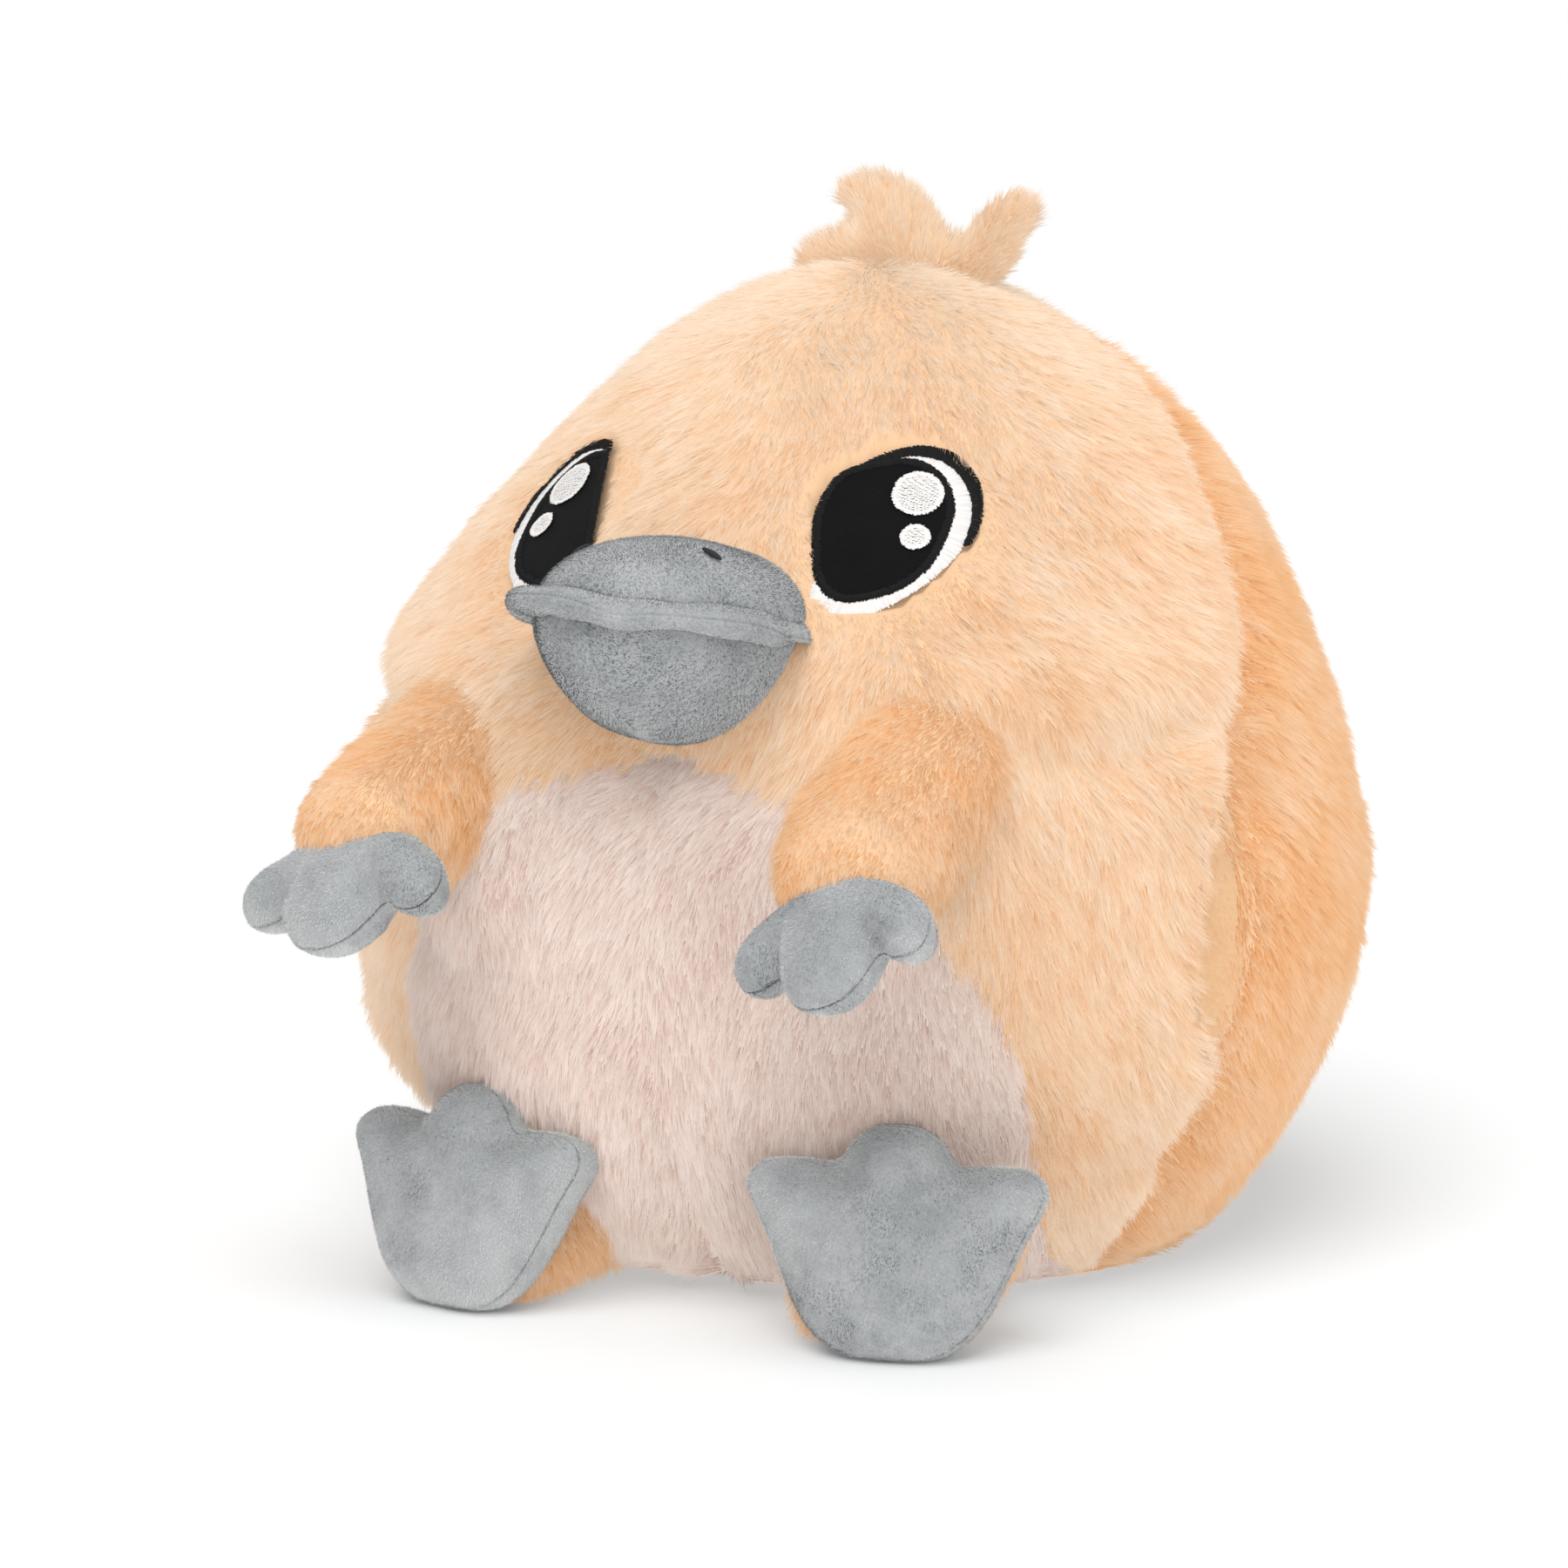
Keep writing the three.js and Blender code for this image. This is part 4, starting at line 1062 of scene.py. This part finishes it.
def stitched(tails, heads, lift, arch, seed, side):
    """Threads laid side by side from tails to heads, each rounded and arched, as a mesh on one eye."""
    rng = np.random.default_rng(seed)
    count, steps = len(tails), 5
    share = np.linspace(0, 1, steps)
    line = tails[:, None] + (heads - tails)[:, None] * share[:, None]
    along = unit(heads - tails)
    across = np.stack([-along[:, 1], along[:, 0]], axis=1)[:, None] * 0.56 * thread_pitch
    flat = np.stack([line - across, line, line + across], axis=2)
    rise = np.broadcast_to(lift + arch * 4 * share * (1 - share), (count, steps))[..., None]
    rise = rise + np.array([0, 0.22 * mm, 0]) + rng.uniform(-0.08, 0.08, (count, 1, 1)) * mm
    points = draped(flat.reshape(-1, 2), rise.ravel(), side)
    faces = []
    for row in range(steps - 1):
        for column in range(2):
            first = 3 * row + column
            face = [first, first + 1, first + 4, first + 3]
            faces.append(face if side < 0 else face[::-1])
    corners = np.array(faces).ravel()
    mesh = bpy.data.meshes.new("threads")
    number = np.arange(count)[:, None]
    mesh.vertices.add(len(points))
    mesh.vertices.foreach_set("co", points.astype(np.float32).ravel())
    mesh.loops.add(count * len(corners))
    mesh.loops.foreach_set("vertex_index", (number * 3 * steps + corners).astype(np.int32).ravel())
    mesh.polygons.add(count * len(faces))
    mesh.polygons.foreach_set("loop_start", np.arange(count * len(faces), dtype=np.int32) * 4)
    mesh.update(calc_edges=True)
    shade = rng.uniform(0.1, 0.9, (count, 1)) + np.tile([-0.02, 0, 0.02], steps)[corners]
    spots = np.stack([shade, np.broadcast_to((np.arange(3 * steps) // 3 / (steps - 1))[corners], shade.shape)], axis=-1)
    mesh.uv_layers.new(name="OFBake").data.foreach_set("uv", spots.astype(np.float32).ravel())
    mesh.shade_smooth()
    return mesh


def satin(edge, width, overhang, seed, within=None, most=14 * mm):
    """Ends of the satin stitches along an edge: of one width, or in as far as other edges."""
    rng = np.random.default_rng(seed)
    line, out = even_line(edge, thread_pitch)
    tails = line + out * (overhang + rng.normal(0, 0.18, (len(line), 1)) * mm)
    if within is None:
        heads = line - out * (width + rng.normal(0, 0.2, (len(line), 1)) * mm)
        return tails, heads
    steps = np.arange(0, most, 0.3 * mm)
    spots = line[:, None] - out[:, None] * steps[:, None]
    hit = np.any([inside(spots.reshape(-1, 2), other) for other in within], axis=0).reshape(spots.shape[:2])
    first = np.where(hit.any(axis=1), hit.argmax(axis=1), 0)
    kept = first > 1
    heads = line - out * (steps[first][:, None] + width)
    return tails[kept], heads[kept]


def glint_stitches(middle, halves, seed):
    """Ends of a glint's stitches: broken rows, and a satin edge round them."""
    rng = np.random.default_rng(seed)
    middle, halves = np.array(middle) * mm, np.array(halves) * mm
    turns = np.linspace(0, math.tau, 60, endpoint=False)
    edge = middle + np.stack([np.cos(turns), np.sin(turns)], axis=1) * halves
    tails, heads = satin(edge, 1.2 * mm, 0.2 * mm, seed)
    tails, heads = [*tails], [*heads]
    for number, up in enumerate(np.arange(-halves[1] + 0.6 * mm, halves[1] - 0.6 * mm, 0.46 * mm)):
        reach = halves[0] * math.sqrt(1 - (up / halves[1]) ** 2) - 0.6 * mm
        starts = np.arange(-reach - (number % 3) * 0.8 * mm, reach, 2.2 * mm)
        for start in starts:
            low, high = max(start, -reach), min(start + 2.1 * mm, reach)
            if high - low > 0.5 * mm:
                tails.append(middle + (low, up + rng.normal(0, 0.05) * mm))
                heads.append(middle + (high, up + rng.normal(0, 0.05) * mm))
    return np.array(tails), np.array(heads)


def make_velvet(side):
    """The pupil's velvet, cut short of its stitched border."""
    shape = bmesh.new()
    bmesh.ops.create_grid(shape, x_segments=48, y_segments=56, size=1)
    flat = points_of(shape)[:, :2] * (27 * mm, 32 * mm)
    within = inside(flat, edge_on(pupil_edge, side))
    move_to(shape, np.concatenate([flat, np.zeros((len(flat), 1))], axis=1))
    gone = [vert for vert, keep in zip(shape.verts, within) if not keep]
    bmesh.ops.delete(shape, geom=gone, context="VERTS")
    move_to(shape, draped(points_of(shape)[:, :2], -1.7 * mm, side))
    if side < 0:
        bmesh.ops.reverse_faces(shape, faces=shape.faces)
    return mesh_of(shape)


for name, side in sides.items():
    show(f"{name}_pupil_velvet", make_velvet(side), black_velvet, "body", [f"{name}_eye_pupil"])
    pupil, white_rim, black_rim = (edge_on(edge, side) for edge in eye_edges)
    border = satin(pupil, 2.3 * mm, 0.3 * mm, 91)
    show(f"{name}_pupil_border", stitched(*border, -1.75 * mm, 0.5 * mm, 91, side), black_thread, "body")
    white = satin(white_rim, 1.2 * mm, 0.2 * mm, 92, [pupil])
    show(f"{name}_white_satin", stitched(*white, -2.3 * mm, 0.5 * mm, 92, side), white_thread, "body",
         [f"{name}_eye_white"])
    rim = satin(black_rim, 0.2 * mm, 0.2 * mm, 93, [pupil, white_rim])
    show(f"{name}_rim_satin", stitched(*rim, -2.1 * mm, 0.5 * mm, 93, side), black_thread, "body",
         [f"{name}_eye_rim"])
    for size, glint in (("large", large_glint), ("small", small_glint)):
        stitches = glint_stitches(*glint, 94)
        show(f"{name}_{size}_glint_satin", stitched(*stitches, -1.2 * mm, 0.2 * mm, 94, side), white_thread, "body",
             [f"{name}_eye_{size}_glint"])


# Furry limbs and crest

sleeve_line = [(-26, 10), (-22, 17), (-14, 22), (-5, 24.5), (6, 25), (14, 24), (24, 23), (34, 22.5), (44, 21), (54, 20),
               (63, 18), (68, 10)]


def make_sleeve(name, side):
    """An arm's skin: sunk in the body at its root, full in the middle and drawn in at the wrist."""
    axis = (wrists[name] - sleeve_root).normalized()
    line = [(0, sleeve_line[0][0] - 3), *((radius, along) for along, radius in sleeve_line), (0, sleeve_line[-1][0] + 1)]
    shape = spun([(radius * mm, along * mm) for radius, along in line], 72)
    bmesh.ops.subdivide_edges(shape, edges=shape.edges, cuts=1, use_grid_fill=True, smooth=0.6)
    local = points_of(shape)
    local[:, :2] *= 1 + 0.05 * Noise(20 * mm, 100 + side)(local)[:, None]
    move_to(shape, local)
    across = Vector((0, 0, 1)).cross(axis).normalized()
    return placed(shape, sleeve_root, across, axis.cross(across), side)


def make_leg(side):
    """A short stump that widens to the body, ends behind its foot and lies flat on the floor."""
    axis = heel - leg_root
    length = axis.length - 7 * mm
    points = [(0, -thigh_radius)]
    points += [(thigh_radius * math.cos(turn), thigh_radius * math.sin(turn)) for turn in np.linspace(-1.4, 0, 8)]
    points += [(thigh_radius + (leg_radius - thigh_radius) * share, length * share) for share in np.linspace(0, 1, 14)[1:]]
    points += [(leg_radius * 0.85, length + 4 * mm), (leg_radius * 0.5, length + 6 * mm), (0, length + 6.5 * mm)]
    across = Vector((0, 0, 1)).cross(axis).normalized()
    return above_floor(placed(spun(points, 64), leg_root, across, axis.normalized().cross(across), side))


def along_arm(side):
    direction = np.array((arm_axis.x * side, arm_axis.y, arm_axis.z - 0.7))
    return lambda points, normals: np.broadcast_to(direction, points.shape)


def clear_of_body(points):
    return smoothstep(depth_in_body(points), 14 * mm, 9 * mm)


def sleeve_trim(points):
    """Bare within the body and shorter at the wrist."""
    _, share = line_distance(on_left(points), sleeve_root, wrist)
    return clear_of_body(points) * (1 - 0.5 * smoothstep(share, 0.8, 1))


long_pile = Pile(1.6e6, 11 * mm, 0.46 * mm, 66, 2 * mm, 7 * mm, 0.3)
belly_pile = Pile(1.6e6, 10 * mm, 0.46 * mm, 65, 2 * mm, 7 * mm, 0.34)
sleeve_pile = Pile(1.9e6, 10 * mm, 0.44 * mm, 68, 2 * mm, 6 * mm, 0.28)
leg_pile = Pile(1.7e6, 8 * mm, 0.44 * mm, 62, 2 * mm, 6 * mm, 0.28)
crest_pile = Pile(2.4e6, 7 * mm, 0.42 * mm, 60, 1.8 * mm, 5 * mm, 0.26)
base_pile = Pile(0.4e6, 9 * mm, 0.6 * mm, 68, 3 * mm, 9 * mm, 0.4)

for name, side in sides.items():
    sleeve = show(f"{name}_sleeve_skin", mesh_of(make_sleeve(name, side)), peach_backing, f"{name}_arm",
                  [f"{name}_sleeve", f"{name}_arm_filling"])
    # Painted shade: the sleeve and leg furs get low base tones, deeper orange for the shade their fur shows.
    grow(f"{name}_sleeve_fur", sleeve, sleeve_pile, peach_fur, along_arm(side), 110 + side,
         sleeve_trim, base_tone=0.2)
    leg = show(f"{name}_leg_skin", mesh_of(make_leg(side)), peach_backing, "body",
               [f"{name}_leg_cover", f"{name}_leg_filling"])
    grow(f"{name}_leg_fur", leg, leg_pile, peach_fur, downward, 114 + side, clear_of_body,
         base_tone=0.3)


crest_edge = grown(closed_curve(crest_points, 8) * mm, -2 * mm)


def along_crest(points, normals):
    local = points - np.array(crest_foot)
    spread = np.zeros_like(local)
    spread[:, 0] = np.where(local[:, 0] > 22 * mm, 0.8, -0.25 + 0.02 * local[:, 0] / mm)
    spread[:, 2] = 1
    return spread


crest = pillow(crest_edge, 5.5 * mm, 9 * mm, [((25, 9), (24, -6), 3, 1.5), ((-10, 11), (-2, 4), 2.5, 1.2)], 47)
for panel, direction in (("crest_front", 1), ("crest_back", -1)):
    part = placed(half_pad(crest, direction), crest_foot, Vector((1, 0, 0)), Vector((0, 0, 1)))
    piece = show(f"{panel}_skin", mesh_of(part), peach_backing, "crest", [panel])
    grow(f"{panel}_fur", piece, crest_pile, peach_fur, along_crest, 118 + direction)
crest.free()


# Body fur

def body_comb(points, normals):
    """Down the body, and back over the slits at the sides."""
    turn = np.arctan2(np.abs(points[:, 0]), lean(points[:, 2]) - points[:, 1])
    comb = np.zeros_like(points)
    comb[:, 2] = -1
    comb[:, 1] = 0.2 * ridge(turn - 1.1, 0.3) + 0.5 * ridge(turn - 1.8, 0.5)
    comb[:, 0] = np.sign(points[:, 0]) * 0.12
    around = np.stack([points[:, 0], points[:, 1] - lean(points[:, 2])], axis=1)
    comb[:, 1] += 1.2 * (points[:, 1] < -slit_forward) * (1 - smoothstep(slit_places(points), 1, 1.8))
    by_floor = 1 - smoothstep(points[:, 2], 4 * mm, 18 * mm)
    comb[:, :2] += (0.3 + 1.5 * by_floor)[:, None] * unit(around)
    return comb


def outward_comb(points, normals):
    return points * (1, 1, 0) + 1e-6


def face_trim(points):
    """Bare where the bill is sewn on, and shorter round it and round the eyes."""
    share = np.ones(len(points))
    flat, near = eye_flat(points)
    far = np.min([edge_distance(flat[near], edge) for edge in eye_edges], axis=0)
    share[near] = 0.34 + 0.66 * smoothstep(far, 1 * mm, 9 * mm)
    reach = points - np.array(bill_root)
    up = reach @ np.array(bill_up)
    rise = np.where(up > 0, bill_rise, bill_drop)
    place = (reach[:, 0] / bill_half_width) ** 2 + (reach @ np.array(bill_forward) / bill_length) ** 2 + (up / rise) ** 2
    share *= smoothstep(place, 0.8, 0.95) * (0.5 + 0.5 * smoothstep(place, 0.95, 1.6))
    return share * shoulder_trim(points) * slit_trim(points)


def shoulder_trim(points):
    """Bare within the sleeves."""
    far, _ = line_distance(on_left(points), sleeve_root, wrist)
    return smoothstep(far, 7 * mm, 11 * mm)


def slit_places(points):
    """Each point's place in the oval of the slit on its side: below 1 is inside."""
    x, y, z = points.T
    place = np.hypot((y + slit_forward) / slit_half_width, (z - slit_height) / slit_half_height)
    return np.where(np.abs(x) > belly_radius / 2, place, np.inf)


def slit_trim(points):
    """Shorter at the edges of the slits, mostly at the back one."""
    shortest = np.where(points[:, 1] < -slit_forward, 0.85, 0.6)
    return shortest + (1 - shortest) * smoothstep(slit_places(points), 1, 2.2)


def base_trim(points):
    """Bare at the edge, so that no strand comes out under the toy."""
    return smoothstep(np.hypot(points[:, 0], points[:, 1]), 90 * mm, 84 * mm)


# Painted shade: the back fur gets a much lower base tone than the front, deeper orange for the shade it shows.
grow("front_fur", front_skin, long_pile, peach_fur, body_comb, 121, face_trim, over_eyes, 0.68)
grow("belly_fur", belly_skin, belly_pile, cream_fur, body_comb, 122, shoulder_trim, base_tone=0.42)
grow("back_fur", back_skin, long_pile, peach_fur, body_comb, 123, slit_trim, base_tone=0.15)
grow("base_fur", base_skin, base_pile, peach_fur, outward_comb, 124, base_trim)


# Studio

def make_floor():
    shape = bmesh.new()
    bmesh.ops.create_grid(shape, x_segments=24, y_segments=24, size=6)
    floor = bpy.data.objects.new("floor", mesh_of(shape))
    scene.collection.objects.link(floor)
    finish = Finish("studio floor", Roughness=0.9, Specular_IOR_Level=0)
    grain = finish.noise(3, 2)
    finish.set("Base Color", finish.mixed(grain, paint(254, 254, 254), paint(255, 255, 255)))
    floor.data.materials.append(finish.material)
    floor.visible_shadow = False


def make_world():
    """White to the camera and in mirrors, and a soft even light on the toy."""
    world = bpy.data.worlds.new("studio")
    scene.world = world
    world.use_nodes = True
    nodes = Nodes(world.node_tree)
    plain = world.node_tree.nodes["Background"]
    plain.inputs["Color"].default_value = (1, 1, 1, 1)
    plain.inputs["Strength"].default_value = 0.41
    white = nodes.add("Background", None, {"Color": (1, 1, 1, 1), "Strength": 1})
    rays = [nodes.add("LightPath", output=name) for name in ("Is Camera Ray", "Is Glossy Ray", "Is Transmission Ray")]
    seen = nodes.add("Math", {"operation": "MAXIMUM"}, {0: rays[0], 1: rays[1]})
    seen = nodes.add("Math", {"operation": "MAXIMUM"}, {0: seen, 1: rays[2]})
    shown = nodes.add("MixShader", None, {0: seen, 1: Value(nodes, plain.outputs[0]), 2: white})
    nodes.feed(world.node_tree.nodes["World Output"].inputs["Surface"], shown)


def make_sun(name, strength, azimuth, height, softness):
    """A far soft light from a direction: degrees round from the toy's front to its left, and up."""
    lamp = bpy.data.lights.new(name, "SUN")
    lamp.energy = strength
    lamp.angle = math.radians(softness)
    holder = bpy.data.objects.new(name, lamp)
    scene.collection.objects.link(holder)
    around, up = math.radians(azimuth), math.radians(height)
    toward = Vector((math.sin(around) * math.cos(up), -math.cos(around) * math.cos(up), math.sin(up)))
    holder.rotation_euler = toward.to_track_quat("Z", "Y").to_euler()


def make_camera():
    camera = bpy.data.cameras.new("camera")
    camera.sensor_width = 36
    camera.lens = 90.17
    holder = bpy.data.objects.new("camera", camera)
    scene.collection.objects.link(holder)
    holder.location = (0.4715, -1.1232, 0.3049)
    holder.rotation_euler = (math.radians(90 - 7.817), 0, math.radians(23.863))
    scene.camera = holder


scene.view_settings.view_transform = "Standard"
make_floor()
make_world()
make_sun("key", 1.72, 5, 58, 45)
make_sun("fill", 0.5, 75, 32, 80)
make_sun("low fill", 0.5, 42, 8, 90)
make_sun("floor bounce", 0.95, 28, -32, 90)
make_sun("back fill", 0.45, 215, 22, 90)
make_camera()
